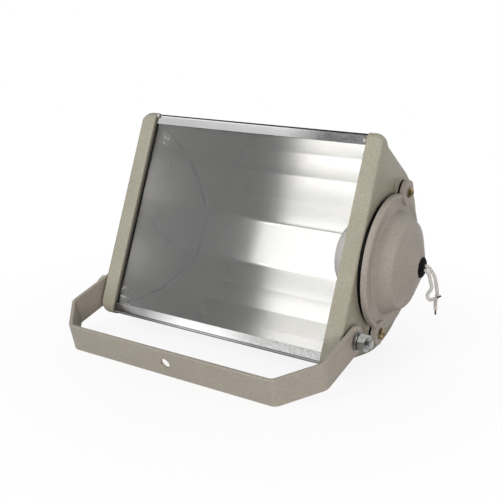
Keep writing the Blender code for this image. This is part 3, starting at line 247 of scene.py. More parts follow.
def grow(tree, kind, inputs=None, **settings):
    """Add a node; its inputs take plain values or other nodes' sockets."""
    made = tree.nodes.new(kind)
    for key, value in settings.items():
        setattr(made, key, value)
    for key, value in (inputs or {}).items():
        if isinstance(value, bpy.types.NodeSocket):
            tree.links.new(value, made.inputs[key])
        else:
            made.inputs[key].default_value = value
    return made


def reckon(tree, operation, first, second):
    """One sum of two values or sockets."""
    return grow(tree, "ShaderNodeMath", {0: first, 1: second}, operation=operation).outputs[0]


def give(modifier, **values):
    """Set a modifier's inputs by their sockets' identifiers."""
    for item in modifier.node_group.interface.items_tree:
        if item.item_type == "SOCKET" and item.in_out == "INPUT" and item.name in values:
            modifier[item.identifier] = values[item.name]


def setting_out_tree():
    """Places one form on every point, turned by the point's own angles."""
    tree, start, end = tree_with("setting_out", [
        ("Form", "NodeSocketObject", None), ("Size", "NodeSocketFloat", 1.0),
        ("Finish", "NodeSocketMaterial", None)])
    form = grow(tree, "GeometryNodeObjectInfo", {"Object": start.outputs["Form"]})
    turn = grow(tree, "GeometryNodeInputNamedAttribute", {"Name": "turn"}, data_type="FLOAT_VECTOR")
    angle = grow(tree, "FunctionNodeEulerToRotation", {"Euler": turn.outputs["Attribute"]})
    size = grow(tree, "ShaderNodeCombineXYZ", {k: start.outputs["Size"] for k in "XYZ"})
    placed = grow(tree, "GeometryNodeInstanceOnPoints", {
        "Points": start.outputs["Geometry"], "Instance": form.outputs["Geometry"],
        "Rotation": angle.outputs["Rotation"], "Scale": size.outputs["Vector"]})
    real = grow(tree, "GeometryNodeRealizeInstances", {"Geometry": placed.outputs["Instances"]})
    painted = grow(tree, "GeometryNodeSetMaterial", {
        "Geometry": real.outputs["Geometry"], "Material": start.outputs["Finish"]})
    tree.links.new(painted.outputs["Geometry"], end.inputs["Geometry"])
    return tree


SETTING_OUT = setting_out_tree()


def set_out(name, form, places, material, body, slot, nodes, space):
    """Repeat a form at places (point, angles), as one mesh that stands for several solids."""
    mesh = bpy.data.meshes.new(name)
    mesh.from_pydata([place for place, _ in places], [], [])
    turn = mesh.attributes.new("turn", "FLOAT_VECTOR", "POINT")
    turn.data.foreach_set("vector", [value for _, angles in places for value in angles])
    piece = link(bpy.data.objects.new(name, mesh))
    rows = piece.modifiers.new("setting_out", "NODES")
    rows.node_group = SETTING_OUT
    give(rows, Form=form, Size=1.0, Finish=material)
    settled(piece)
    bpy.data.objects.remove(form)
    piece.data.transform(space)
    return fit(piece, body, slot, *nodes)


# Finishes

def finish(name, colour, roughness, metallic=0.0, **sockets):
    """New Principled finish; the even values are set on its own sockets."""
    made = bpy.data.materials.new(name)
    made.use_nodes = True
    tree = made.node_tree
    shader = tree.nodes["Principled BSDF"]
    shader.inputs["Base Color"].default_value = (*colour, 1.0)
    shader.inputs["Roughness"].default_value = roughness
    shader.inputs["Metallic"].default_value = metallic
    for key, value in sockets.items():
        shader.inputs[key.replace("_", " ")].default_value = value
    return made, tree, shader


def lead_in(tree, shader, **sockets):
    """Let textures set some of a finish's sockets."""
    for key, socket in sockets.items():
        tree.links.new(socket, shader.inputs[key.replace("_", " ")])


def coordinates(tree, stretch=(1, 1, 1)):
    """The piece's own coordinates, stretched where a grain runs one way."""
    source = tree.nodes.new("ShaderNodeTexCoord")
    return grow(tree, "ShaderNodeMapping", {
        "Vector": source.outputs["Object"], "Scale": stretch}).outputs["Vector"]


def grain(tree, vector, scale, detail=3.0, rough=0.55):
    return grow(tree, "ShaderNodeTexNoise", {
        "Vector": vector, "Scale": scale, "Detail": detail, "Roughness": rough}).outputs["Fac"]


def soft_cells(tree, vector, scale):
    return grow(tree, "ShaderNodeTexVoronoi", {"Vector": vector, "Scale": scale},
                feature="SMOOTH_F1").outputs["Distance"]


def spread(tree, value, low, high, to_low=0.0, to_high=1.0):
    """Carry a texture's range onto the range that a socket needs."""
    return grow(tree, "ShaderNodeMapRange", {
        "Value": value, "From Min": low, "From Max": high,
        "To Min": to_low, "To Max": to_high}).outputs["Result"]


def distance_from(tree, own, place):
    """How far each point lies from a place in the housing's frame."""
    offset = grow(tree, "ShaderNodeVectorMath", {0: own, 1: tuple(HOUSING @ Vector(place))},
                  operation="SUBTRACT")
    return grow(tree, "ShaderNodeVectorMath", {0: offset.outputs["Vector"]},
                operation="LENGTH").outputs["Value"]


def blend_colours(tree, factor, first, second):
    mixed = grow(tree, "ShaderNodeMix", data_type="RGBA")
    for key, value in (("Factor", factor), ("A", first), ("B", second)):
        kind = "VALUE" if key == "Factor" else "RGBA"
        socket = [s for s in mixed.inputs if s.name == key and s.type == kind][0]
        if isinstance(value, bpy.types.NodeSocket):
            tree.links.new(value, socket)
        else:
            socket.default_value = (*value, 1.0)
    return [s for s in mixed.outputs if s.type == "RGBA"][0]


def total(tree, *weighted):
    """Weighted sum of heights: (socket, weight)."""
    result = None
    for value, weight in weighted:
        scaled = reckon(tree, "MULTIPLY", value, weight)
        result = scaled if result is None else reckon(tree, "ADD", result, scaled)
    return result


def relief(tree, shader, height, strength, distance):
    bump = grow(tree, "ShaderNodeBump", {
        "Height": height, "Strength": strength, "Distance": distance})
    tree.links.new(bump.outputs["Normal"], shader.inputs["Normal"])


def shade(colour, amount):
    return tuple(min(1.0, c * amount) for c in colour)


def textured_paint(name, colour, peel, warm):
    """Sprayed texture paint: fine orange peel, soft waviness and faint warm clouding."""
    made, tree, shader = finish(name, colour, 0.5)
    own = coordinates(tree)
    fine = grain(tree, own, 560, 2.0)
    peaks = soft_cells(tree, own, 480)
    clouds = grain(tree, own, 26, 4.0, 0.6)
    specks = spread(tree, fine, 0.36, 0.64)
    base = blend_colours(tree, specks, shade(colour, 0.88), shade(colour, 1.11))
    cloudy = blend_colours(tree, spread(tree, clouds, 0.38, 0.66, 0.0, 0.55), base, warm)
    lead_in(tree, shader, Base_Color=cloudy,
            Roughness=spread(tree, clouds, 0.3, 0.7, 0.42, 0.58))
    waves = grain(tree, own, 150, 2.0)
    relief(tree, shader, total(tree, (fine, 0.55), (peaks, 0.8), (waves, 0.5)), peel, 0.0010)
    return made


def bright_sheet(name, colour, roughness, painted_reflections=()):
    """Rolled sheet: fine lines along it, soft blotches, and mottled painted dark reflections at the
    given places.
    """
    made, tree, shader = finish(name, colour, roughness, 1.0)
    lines = grain(tree, coordinates(tree, (3, 60, 60)), 12, 3.0, 0.6)
    own = coordinates(tree)
    blotch = grain(tree, own, 430, 3.0, 0.7)
    broad = grain(tree, own, 18, 3.0)
    tone = total(tree, (blotch, 0.35), (lines, 0.35), (broad, 0.3))
    base = blend_colours(tree, spread(tree, tone, 0.38, 0.62), shade(colour, 0.90), colour)
    fine = grain(tree, own, 900, 2.0, 0.6)
    # Painted dark reflection: near each place the colour falls towards a dark copy of itself,
    # mottled.
    for place, size, depth, mottle in painted_reflections:
        near = spread(tree, distance_from(tree, own, place), size * 0.5, size, depth, 0.0)
        reflection_mottle = spread(tree, fine, 0.40, 0.60, 1.0 - mottle, 1.0)
        base = blend_colours(tree, reckon(tree, "MULTIPLY", near, reflection_mottle), base,
                             shade(colour, 0.12))
    lead_in(tree, shader, Base_Color=base,
            Roughness=spread(tree, tone, 0.35, 0.65, roughness * 0.85, roughness * 1.2))
    relief(tree, shader, total(tree, (blotch, 0.6), (lines, 0.4)), 0.05, 0.0002)
    return made


SEAM_END = -0.1392
SEAM_FADE = 0.0010
SEAM_COLOUR = (0.62, 0.64, 0.68)


def satin_trough(name, colour, roughness):
    """Brushed, anodised reflector sheet: grain along the trough, a pale seam at its left end."""
    made, tree, shader = finish(name, colour, roughness, 1.0)
    long_grain = grain(tree, coordinates(tree, (1.5, 60, 60)), 8, 3.0, 0.6)
    own = coordinates(tree)
    haze = grain(tree, own, 9)
    clouded = blend_colours(tree, spread(tree, haze, 0.35, 0.65), shade(colour, 0.95), colour)
    along = grow(tree, "ShaderNodeSeparateXYZ", {"Vector": own}).outputs["X"]
    seam = spread(tree, along, SEAM_END, SEAM_END + SEAM_FADE, 0.28, 0.0)
    hazy = spread(tree, haze, 0.3, 0.7, roughness * 0.92, roughness * 1.1)
    lead_in(tree, shader, Base_Color=blend_colours(tree, seam, clouded, SEAM_COLOUR),
            Roughness=reckon(tree, "ADD", hazy, reckon(tree, "MULTIPLY", seam, 0.3)))
    relief(tree, shader, long_grain, 0.02, 0.0001)
    broad = grow(tree, "ShaderNodeBsdfAnisotropic", {"Color": clouded, "Roughness": 0.36})
    mixed = grow(tree, "ShaderNodeMixShader", {0: 0.14, 1: shader.outputs[0], 2: broad.outputs[0]})
    tree.links.new(mixed.outputs[0], tree.nodes["Material Output"].inputs["Surface"])
    return made


def plated(name, colour, dark, roughness):
    """Zinc plate: bright with cloudy passivation, duller and darker in random clouds."""
    made, tree, shader = finish(name, colour, roughness, 1.0)
    own = coordinates(tree)
    clouds = grain(tree, own, 260, 4.0, 0.65)
    lead_in(tree, shader, Base_Color=blend_colours(tree, spread(tree, clouds, 0.35, 0.65),
                                                   dark, colour),
            Roughness=spread(tree, clouds, 0.3, 0.7, roughness * 0.8, roughness * 1.4))
    relief(tree, shader, grain(tree, own, 1500, 2.0), 0.2, 0.0001)
    return made


def rubber(name, colour, dusty):
    """Matt moulded rubber with a little dust."""
    made, tree, shader = finish(name, colour, 0.7, Specular_IOR_Level=0.08)
    own = coordinates(tree)
    dust = spread(tree, grain(tree, own, 120, 5.0, 0.7), 0.48, 0.75, 0.0, 0.5)
    lead_in(tree, shader, Base_Color=blend_colours(tree, dust, colour, dusty))
    relief(tree, shader, grain(tree, own, 900, 2.0), 0.15, 0.0002)
    return made


def silicone(name, colour, shadow):
    """Milky silicone with a faint sheath grain."""
    made, tree, shader = finish(name, colour, 0.42, Subsurface_Weight=0.12,
                                Subsurface_Scale=0.002, Coat_Weight=0.15, Coat_Roughness=0.35)
    own = coordinates(tree)
    tone = spread(tree, grain(tree, own, 300, 4.0, 0.6), 0.35, 0.68)
    lead_in(tree, shader, Base_Color=blend_colours(tree, tone, shadow, colour))
    relief(tree, shader, grain(tree, own, 1400, 2.0), 0.12, 0.0001)
    return made


def porcelain(name, colour, warm):
    """Glazed porcelain, warmer in soft clouds."""
    made, tree, shader = finish(name, colour, 0.22, Coat_Weight=0.5, Coat_Roughness=0.08)
    own = coordinates(tree)
    clouds = spread(tree, grain(tree, own, 45, 4.0), 0.35, 0.7)
    lead_in(tree, shader, Base_Color=blend_colours(tree, clouds, colour, warm))
    relief(tree, shader, grain(tree, own, 220, 2.0), 0.08, 0.0003)
    return made


# Dried smears on the glass near its left corners: (place, reach)
SMEARS = (((-0.118, 0.005, 0.090), 0.011), ((-0.132, 0.005, -0.088), 0.009),
          ((-0.128, 0.005, -0.098), 0.007))

# Painted dark reflections on the rails, patches that stand in for dark surroundings mirrored there:
# (place, reach, depth, mottle)
PAINTED_DARK_REFLECTIONS = (((0.136, 0.004, 0.108), 0.098, 1.0, 0.35),
          ((-0.152, 0.004, -0.112), 0.115, 0.80, 0.10),
          ((0.100, 0.004, -0.112), 0.090, 0.60, 0.50))


def front_glass_finish():
    """Clear sheet glass with dried smears."""
    made, tree, shader = finish("clear_glass", (0.985, 0.992, 0.99), 0.0,
                                Transmission_Weight=1.0, IOR=1.45)
    own = coordinates(tree)
    streaks = spread(tree, grain(tree, own, 420, 4.0, 0.75), 0.53, 0.62, 0.0, 1.3)
    smears = None
    for place, size in SMEARS:
        near = spread(tree, distance_from(tree, own, place), 0.0, size, 1.0, 0.0)
        mark = reckon(tree, "MULTIPLY", near, streaks)
        smears = mark if smears is None else reckon(tree, "MAXIMUM", smears, mark)
    lead_in(tree, shader, Roughness=spread(tree, smears, 0.0, 1.0, 0.0, 0.75),
            Transmission_Weight=spread(tree, smears, 0.0, 1.0, 1.0, 0.35))
    return made


CHEEK_PAINT = textured_paint("cheek_paint", (0.376, 0.360, 0.280), 0.55, (0.350, 0.330, 0.257))
COVER_PAINT = textured_paint("cover_paint", (0.378, 0.345, 0.300), 0.45, (0.352, 0.318, 0.270))
BRACKET_PAINT = textured_paint("bracket_paint", (0.400, 0.366, 0.310), 0.30, (0.376, 0.342, 0.286))
# Painted shade: the top rail is the same sheet as the bottom rail, coloured darker to stand in for
# the dimmer surroundings it mirrors.
TOP_RAIL_PAINTED_DARKER = bright_sheet("top_rail_sheet", (0.39, 0.39, 0.39), 0.20, PAINTED_DARK_REFLECTIONS)
LOW_RAIL_SHEET = bright_sheet("bottom_rail_sheet", (0.60, 0.60, 0.595), 0.20, PAINTED_DARK_REFLECTIONS)
SHELL_SHEET = bright_sheet("shell_sheet", (0.66, 0.665, 0.67), 0.42)
TROUGH_SHEET = satin_trough("reflector_sheet", (0.85, 0.84, 0.825), 0.20)
BRIGHT_ZINC = plated("bright_zinc", (0.47, 0.48, 0.46), (0.30, 0.31, 0.295), 0.30)
YELLOW_ZINC = plated("yellow_zinc", (0.42, 0.33, 0.18), (0.26, 0.20, 0.11), 0.34)
BRASS = plated("brass", (0.72, 0.56, 0.28), (0.58, 0.42, 0.18), 0.30)
TINNED_COPPER = plated("tinned_copper", (0.30, 0.23, 0.18), (0.10, 0.07, 0.055), 0.45)
BLACK_RUBBER = rubber("black_rubber", (0.007, 0.007, 0.008), (0.022, 0.021, 0.020))
SEAL_RUBBER = rubber("seal_rubber", (0.075, 0.073, 0.068), (0.105, 0.101, 0.094))
WHITE_SILICONE = silicone("white_silicone", (0.62, 0.615, 0.58), (0.51, 0.505, 0.47))
PORCELAIN = porcelain("porcelain", (0.80, 0.755, 0.72), (0.74, 0.68, 0.64))
CLEAR_GLASS = front_glass_finish()


# Leads: routes from the part, in metres from each lead's start, as they hang

GROMMET_FACE = 0.0457
LEAD_DIAMETER = 0.0036
LEAD_PITCH = 0.0046
LEAD_STRAIGHT = 0.0015
BARE_LENGTH = 0.0045
STRANDS = 9
STRAND_CORE = 0.00068
STRAND_RADIUS = 0.00027
STRAND_TURNS = 0.4
LEAD_A_ROUTE = [
    (0.0045, 0.0000, -0.0013), (0.0067, 0.0000, -0.0039), (0.0096, 0.0006, -0.0084),
    (0.0114, 0.0012, -0.0137), (0.0125, 0.0016, -0.0190), (0.0141, 0.0016, -0.0286),
    (0.0129, 0.0012, -0.0353), (0.0132, 0.0008, -0.0417), (0.0135, 0.0006, -0.0455),
]
LEAD_B_ROUTE = [
    (0.0040, -0.0002, -0.0020), (0.0059, -0.0004, -0.0053), (0.0075, -0.0010, -0.0100),
    (0.0092, -0.0016, -0.0139), (0.0095, -0.0020, -0.0177), (0.0068, -0.0030, -0.0226),
    (0.0062, -0.0036, -0.0264), (0.0093, -0.0042, -0.0289), (0.0137, -0.0046, -0.0273),
    (0.0172, -0.0050, -0.0250),
]


def smooth_way(knots, steps=3):
    """Points on a smooth curve through a route."""
    knots = [knots[0] * 2 - knots[1]] + knots + [knots[-1] * 2 - knots[-2]]
    way = []
    for a, b, c, d in zip(knots, knots[1:], knots[2:], knots[3:]):
        for k in range(steps):
            t = k / steps
            way.append(0.5 * ((2 * b) + (c - a) * t + (2 * a - 5 * b + 4 * c - d) * t ** 2
                              + (3 * b - a - 3 * c + d) * t ** 3))
    way.append(knots[-2])
    return way


def stranded_end_tree():
    """Bared wire: strands laid round each other, opening a little at the tip."""
    tree, start, end = tree_with("stranded_end", [
        ("Strands", "NodeSocketInt", STRANDS), ("Reach", "NodeSocketFloat", BARE_LENGTH),
        ("Core", "NodeSocketFloat", STRAND_CORE), ("Strand", "NodeSocketFloat", STRAND_RADIUS),
        ("Turns", "NodeSocketFloat", STRAND_TURNS), ("Finish", "NodeSocketMaterial", None)])
    lay = grow(tree, "GeometryNodeCurveSpiral", {
        "Resolution": 14, "Rotations": start.outputs["Turns"],
        "Start Radius": start.outputs["Core"],
        "End Radius": reckon(tree, "MULTIPLY", start.outputs["Core"], 1.15),
        "Height": start.outputs["Reach"]})
    section = grow(tree, "GeometryNodeCurvePrimitiveCircle", {
        "Resolution": 8, "Radius": start.outputs["Strand"]})
    strand = grow(tree, "GeometryNodeCurveToMesh", {
        "Curve": lay.outputs["Curve"], "Profile Curve": section.outputs["Curve"],
        "Fill Caps": True})
    round_axis = grow(tree, "GeometryNodePoints", {"Count": start.outputs["Strands"]})
    number = grow(tree, "GeometryNodeInputIndex").outputs[0]
    share = reckon(tree, "DIVIDE", number, start.outputs["Strands"])
    euler = grow(tree, "ShaderNodeCombineXYZ", {"Z": reckon(tree, "MULTIPLY", share, 2 * math.pi)})
    angle = grow(tree, "FunctionNodeEulerToRotation", {"Euler": euler.outputs["Vector"]})
    laid = grow(tree, "GeometryNodeInstanceOnPoints", {
        "Points": round_axis.outputs[0], "Instance": strand.outputs["Mesh"],
        "Rotation": angle.outputs["Rotation"]})
    real = grow(tree, "GeometryNodeRealizeInstances", {"Geometry": laid.outputs["Instances"]})
    smooth = grow(tree, "GeometryNodeSetShadeSmooth", {"Geometry": real.outputs["Geometry"]})
    painted = grow(tree, "GeometryNodeSetMaterial", {
        "Geometry": smooth.outputs["Geometry"], "Material": start.outputs["Finish"]})
    tree.links.new(painted.outputs["Geometry"], end.inputs["Geometry"])
    return tree


STRANDED_END = stranded_end_tree()


def stranded_end(name, place, way, node):
    """The dulled strands beyond a lead's sheath."""
    piece = link(bpy.data.objects.new(name, bpy.data.meshes.new(name)))
    strands = piece.modifiers.new("strands", "NODES")
    strands.node_group = STRANDED_END
    give(strands, Strands=STRANDS, Reach=BARE_LENGTH, Core=STRAND_CORE, Strand=STRAND_RADIUS,
         Turns=STRAND_TURNS, Finish=TINNED_COPPER)
    settled(piece)
    turn = way.to_track_quat("Z", "Y").to_matrix().to_4x4()
    piece.data.transform(Matrix.Translation(place) @ turn)
    return fit(piece, "lamp_cover", "tinned_copper", node)


def lead(word, route, lift):
    """One silicone lead from the grommet's face to its cut sheath, with its strands."""
    start = COVER @ Vector((GROMMET_FACE + GAP, 0, lift))
    out = COVER.to_3x3() @ Vector((LEAD_STRAIGHT, 0, 0))
    way = smooth_way([start, start + out] + [start + Vector(p) for p in route])
    heading = (way[-1] - way[-2]).normalized()
    end = stranded_end("lead_%s_strands" % word, way[-1] + heading * GAP, heading,
                       "lead_%s_end" % word)
    line = bpy.data.curves.new("lead_%s_sheath" % word, "CURVE")
    line.dimensions = "3D"
    line.bevel_depth = LEAD_DIAMETER / 2
    line.bevel_resolution = 5
    line.use_fill_caps = True
    spline = line.splines.new("POLY")
    spline.points.add(len(way) - 1)
    for point, place in zip(spline.points, way):
        point.co = (*place, 1.0)
    spline.use_smooth = True
    line.materials.append(WHITE_SILICONE)
    sheath = link(bpy.data.objects.new("lead_%s_sheath" % word, line))
    fit(sheath, "lamp_cover", "white_silicone", "lead_" + word)
    length = sum((q - p).length for p, q in zip(way, way[1:]))
    return length


LEAD_LENGTHS = [lead("a", LEAD_A_ROUTE, LEAD_PITCH / 2), lead("b", LEAD_B_ROUTE, -LEAD_PITCH / 2)]


# Lamp cover: sizes in its own frame; the pairs are (radius, x) corners of its section

COVER_RADIUS = 0.0720
FLANGE_BACK = 0.0068
BEAD = 0.0028
CABLE_HOLE = 0.0083
CAP_EDGE = 0.0120
CAP_FACE = 0.0424
CAP_BACK = 0.0389
SHOULDER = (0.0458, 0.0281)
INNER_SHOULDER = (0.0428, 0.0250)
FOOT = (0.0556, 0.0104)
INNER_FOOT = 0.0521
INNER_STEP = 0.0080
SKIRT_INSIDE = 0.0706
SKIRT_FOOT = 0.0057
EAR_REACH = 0.0755
EAR_TURN = math.radians(0.4)
EAR_RADIUS = 0.0127
EAR_FOOT = 0.0071
EAR_TOP = 0.0132
EAR_ROOT = 0.985
EAR_STEPS = 24
BOSS_SPREAD = 0.0335
BOSS_RADIUS = 0.0055
BOSS_LENGTH = (0.0221, 0.0305)
EAR_HOLE = (0.0033, 0.0, 0.03)  # radius, from x, to x
BOSS_HOLE = (0.0028, 0.0200, 0.0278)
EAR_CENTRE = Vector((-math.sin(EAR_TURN), math.cos(EAR_TURN))) * EAR_REACH


def rounded(corners):
    """Section points (radius, x) with an arc at each corner (radius, x, round)."""
    points = []
    for i, (r, x, size) in enumerate(corners):
        here = Vector((r, x))
        if size <= 0:
            points.append(here)
            continue
        before = (Vector(corners[i - 1][:2]) - here).normalized()
        after = (Vector(corners[i + 1][:2]) - here).normalized()
        turn = math.pi - before.angle(after)
        centre = here + (before + after).normalized() * (size / math.cos(turn / 2))
        spoke = here + before * (size * math.tan(turn / 2)) - centre
        sign = 1.0 if before.cross(after) < 0 else -1.0
        steps = max(2, round(math.degrees(turn) / 7))
        points += [centre + Matrix.Rotation(sign * turn * k / steps, 2) @ spoke
                   for k in range(steps + 1)]
    return points


def ear_lugs():
    """Both ears as slots that run in to the flange, with a soft upper edge."""
    bm = bmesh.new()
    for reach in (EAR_CENTRE, -EAR_CENTRE):
        heading = math.atan2(reach.y, reach.x)
        loop = []
        for centre, turn in ((reach, -math.pi / 2), (reach * EAR_ROOT, math.pi / 2)):
            for k in range(EAR_STEPS + 1):
                angle = heading + turn + math.pi * k / EAR_STEPS
                loop.append(centre + Vector((math.cos(angle), math.sin(angle))) * EAR_RADIUS)
        rows = []
        for inset, x in ((0.0004, EAR_FOOT), (0.0, EAR_FOOT + 0.0004), (0.0, EAR_TOP - 0.0008),
                         (0.00025, EAR_TOP - 0.0002), (0.0008, EAR_TOP)):
            share = 1 - inset / EAR_RADIUS
            rows.append([bm.verts.new((x, *(reach + (p - reach) * share))) for p in loop])
        for low, high in zip(rows, rows[1:]):
            band(bm, low, high)
        bm.faces.new(rows[0])
        bm.faces.new(rows[-1])
    bmesh.ops.recalc_face_normals(bm, faces=bm.faces[:])
    return bm


def side_cover():
    """Domed casting turned finely: cone, shoulder, steep side, flat ring, bead; then its ears."""
    rim = Vector((COVER_RADIUS - BEAD, FLANGE_BACK + BEAD))
    outer = rounded([
        (CABLE_HOLE, CAP_FACE, 0), (CAP_EDGE, CAP_FACE, 0.002), (*SHOULDER, 0.006), (*FOOT, 0.003),
        (rim.x - 0.0040, FOOT[1], 0.0016), (rim.x - 0.0012, rim.y + BEAD * 0.9, 0)])
    beading = [rim + Vector((math.sin(a), math.cos(a))) * BEAD
               for a in (math.pi * k / 12 for k in range(0, 7))]
    skirt = rounded([
        (COVER_RADIUS, INNER_STEP, 0), (COVER_RADIUS, SKIRT_FOOT, 0.0004),
        (SKIRT_INSIDE, SKIRT_FOOT, 0.0003), (SKIRT_INSIDE, FLANGE_BACK, 0)])
    inner = rounded([
        (INNER_FOOT, FLANGE_BACK, 0), (INNER_FOOT, INNER_STEP, 0.001), (*INNER_SHOULDER, 0.0045),
        (CAP_EDGE, CAP_BACK, 0.002), (CABLE_HOLE, CAP_BACK, 0)])
    bm = lathe([tuple(p) for p in outer + beading + skirt + inner], 128)
    bm = cut("dome", bm, ear_lugs(), "UNION")
    bosses = bmesh.new()
    for z in (BOSS_SPREAD, -BOSS_SPREAD):
        bar(bosses, 32, BOSS_RADIUS, *BOSS_LENGTH, 0, z)
    bm = cut("dome", bm, bosses, "UNION")
    holes = bmesh.new()
    for size, middle in ((EAR_HOLE, EAR_CENTRE), (EAR_HOLE, -EAR_CENTRE),
                         (BOSS_HOLE, (0, BOSS_SPREAD)), (BOSS_HOLE, (0, -BOSS_SPREAD))):
        bar(holes, 32, *size, *middle)
    bm = cut("dome", bm, holes)
    bmesh.ops.transform(bm, verts=bm.verts[:], matrix=COVER)
    piece = mesh_piece("side_cover_casting", bm, COVER_PAINT, 34)
    return fit(levelled(piece), "lamp_cover", "cover_paint", "side_cover")


# Castings, sheet metal, glass and seals

STRIP_EDGE = 0.1538
STRIP_HALF_HEIGHT = 0.1150
STRIP_ROUND = 0.0031
TIGHTER = 0.4


def crisp_strip(piece):
    """Tighten the round along the front strip's outer edge to about a millimetre."""
    back = HOUSING.inverted()
    for vert in piece.data.vertices:
        place = back @ vert.co
        if (0 < place.y < STRIP_ROUND and abs(place.x) > STRIP_EDGE
                and abs(place.z) < STRIP_HALF_HEIGHT):
            place.y *= TIGHTER
            vert.co = HOUSING @ place


def castings():
    for hand in ("left", "right"):
        crisp_strip(welded(hand + "_cheek", hand + "_cheek_casting", "housing", "cheek_paint",
                           CHEEK_PAINT))
    side_cover()
    welded("bracket", "bracket_strap", "bracket", "bracket_paint", BRACKET_PAINT)


def sheet_metal():
    for place, sheet in (("top", TOP_RAIL_PAINTED_DARKER), ("bottom", LOW_RAIL_SHEET)):
        welded(place + "_rail", place + "_rail_sheet", "housing", "rail_sheet", sheet)
    welded("housing_shell", "housing_shell_sheet", "housing", "shell_sheet", SHELL_SHEET)
    welded("reflector", "reflector_trough", "housing", "reflector_sheet", TROUGH_SHEET)
    for hand in ("left", "right"):
        welded(hand + "_end_plate", hand + "_end_plate_sheet", "housing", "reflector_sheet",
               TROUGH_SHEET)


def glass_and_seals():
    welded("front_glass", "front_glass_sheet", "housing", "clear_glass", CLEAR_GLASS)
    for hand in ("left", "right"):
        welded(hand + "_glass_seal", hand + "_glass_seal_strip", "housing", "black_rubber",
               SEAL_RUBBER)
    welded("cover_gasket", "cover_gasket_ring", "lamp_cover", "black_rubber", BLACK_RUBBER)


def sealant(hand, seed):
    """Squeezed silicone bead: the solid's lump with a lifted, uneven skin."""
    low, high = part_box(hand + "_corner_sealant")
    middle = (low + high) / 2
    half = (high - low) / 2
    bm = bmesh.new()
    bmesh.ops.create_icosphere(bm, subdivisions=4, radius=1.0)
    for vert in bm.verts:
        swell = 0.90 + 0.10 * noise.noise(vert.co * 2.3 + Vector((seed, 0, 0)))
        vert.co = middle + vert.co * half * swell
    piece = mesh_piece(hand + "_corner_bead", bm, WHITE_SILICONE, 80)
    return fit(piece, "housing", "white_silicone", hand + "_corner_sealant")


def grommet():
    """Rubber grommet with a rolled shoulder, held in the cap by its neck."""
    neck = 0.0080
    bm = lathe([
        (0.0, GROMMET_FACE), (0.0058, GROMMET_FACE), (0.0080, 0.0454), (0.0096, 0.0446),
        (0.0106, 0.0438), (0.0110, 0.0431), (0.0108, 0.04285), (0.0104, 0.0427), (neck, 0.0427),
        (neck, 0.0386), (0.0095, 0.0386), (0.0085, 0.0366), (0.0, 0.0366)], 64)
    piece = mesh_piece("cable_grommet_moulding", bm, BLACK_RUBBER, 50)
    piece.data.transform(COVER)
    return fit(piece, "lamp_cover", "black_rubber", "cable_grommet")


castings()
sheet_metal()
glass_and_seals()
sealant("left", 1.0)
sealant("right", 7.0)
grommet()


# Fasteners: pivot hardware lies along the pivot's axis, from the head out to the bolt's tip

BOLT = 0.005
BOLT_PITCH = 0.0015
NUT_FLATS = 0.017
HEAD = (0.1413, 0.1477)
WASHER = (0.1623, 0.1635)
SPRING_WASHER = (0.1638, 0.1660)
NUT = (0.1664, 0.1748)
THREAD = (0.1640, 0.17875)
BOLT_TIP = 0.1791


def hexagon(flats, start, end):
    """Hexagonal bar along X with turned chamfers on its corners."""
    bm = bmesh.new()
    corner = flats / 2 / math.cos(math.pi / 6)
    bar(bm, 6, corner, start, end)
    face = flats / 2 * 0.97
    wide = corner * 1.01
    fall = (wide - face) * math.tan(math.radians(30))
    turned = lathe([(0.0, start), (face, start), (wide, start + fall),
                    (wide, end - fall), (face, end), (0.0, end)])
    return cut("hexagon", bm, turned, "INTERSECT")


def threaded(radius, deep, pitch, start, end, segments=40, inside=False):
    """Turned skin whose radius follows a screw thread, from one X to another, and its rings."""
    steps = max(6, round((end - start) / pitch * 8))
    bm = bmesh.new()
    rows = []
    for i in range(steps + 1):
        x = start + (end - start) * i / steps
        fade = min(1.0, i / 4, (steps - i) / 4)
        row = []
        for k in range(segments):
            angle = 2 * math.pi * k / segments
            phase = ((x - start) / pitch - k / segments) % 1.0
            groove = 1 - abs(2 * phase - 1)
            reach = radius + deep * groove if inside else radius - deep * groove * fade
            row.append(bm.verts.new((x, reach * math.cos(angle), reach * math.sin(angle))))
        rows.append(row)
    for low, high in zip(rows, rows[1:]):
        band(bm, low, high)
    return bm, rows


def pivot_bolt():
    """M10 bolt: chamfered head inside the cheek, plain shank, threaded end with a turned tip."""
    head_low, head_high = HEAD
    bm, rows = threaded(BOLT, 0.0007, BOLT_PITCH, *THREAD)
    spokes = [v.co.yz / v.co.yz.length * BOLT for v in rows[0]]
    shank = [[bm.verts.new((x, *spoke)) for spoke in spokes] for x in (head_high, THREAD[0])]
    tip = [bm.verts.new((BOLT_TIP, v.co.y * 0.80, v.co.z * 0.80)) for v in rows[-1]]
    for low, high in ((shank[0], shank[1]), (shank[1], rows[0]), (rows[-1], tip)):
        band(bm, low, high)
    bm.faces.new(shank[0])
    bm.faces.new(tip)
    bmesh.ops.remove_doubles(bm, verts=bm.verts[:], dist=1e-6)
    bmesh.ops.recalc_face_normals(bm, faces=bm.faces[:])
    head = hexagon(NUT_FLATS, head_low, head_high - 0.00002)
    return mesh_piece("bolt_form", merged(bm, head), None, 30)


def nut():
    """Chamfered hexagon nut with a countersunk bore."""
    start, end = NUT
    bore = BOLT + GAP
    sink = 0.0007
    past = 0.001
    tool = lathe([
        (0.0, start - past), (bore + sink, start - past), (bore + sink, start),
        (bore, start + sink), (bore, end - sink), (bore + sink, end), (bore + sink, end + past),
        (0.0, end + past)], 40)
    return mesh_piece("nut_form", cut("nut", hexagon(NUT_FLATS, start, end), tool), None, 30)


def flat_washer():
    start, end = WASHER
    outer, inner, edge = 0.0098, BOLT + GAP, 0.00015
    return mesh_piece("washer_form", lathe([
        (inner, start), (outer - edge, start), (outer, start + edge), (outer, end - edge),
        (outer - edge, end), (inner, end)], 56), None, 30)


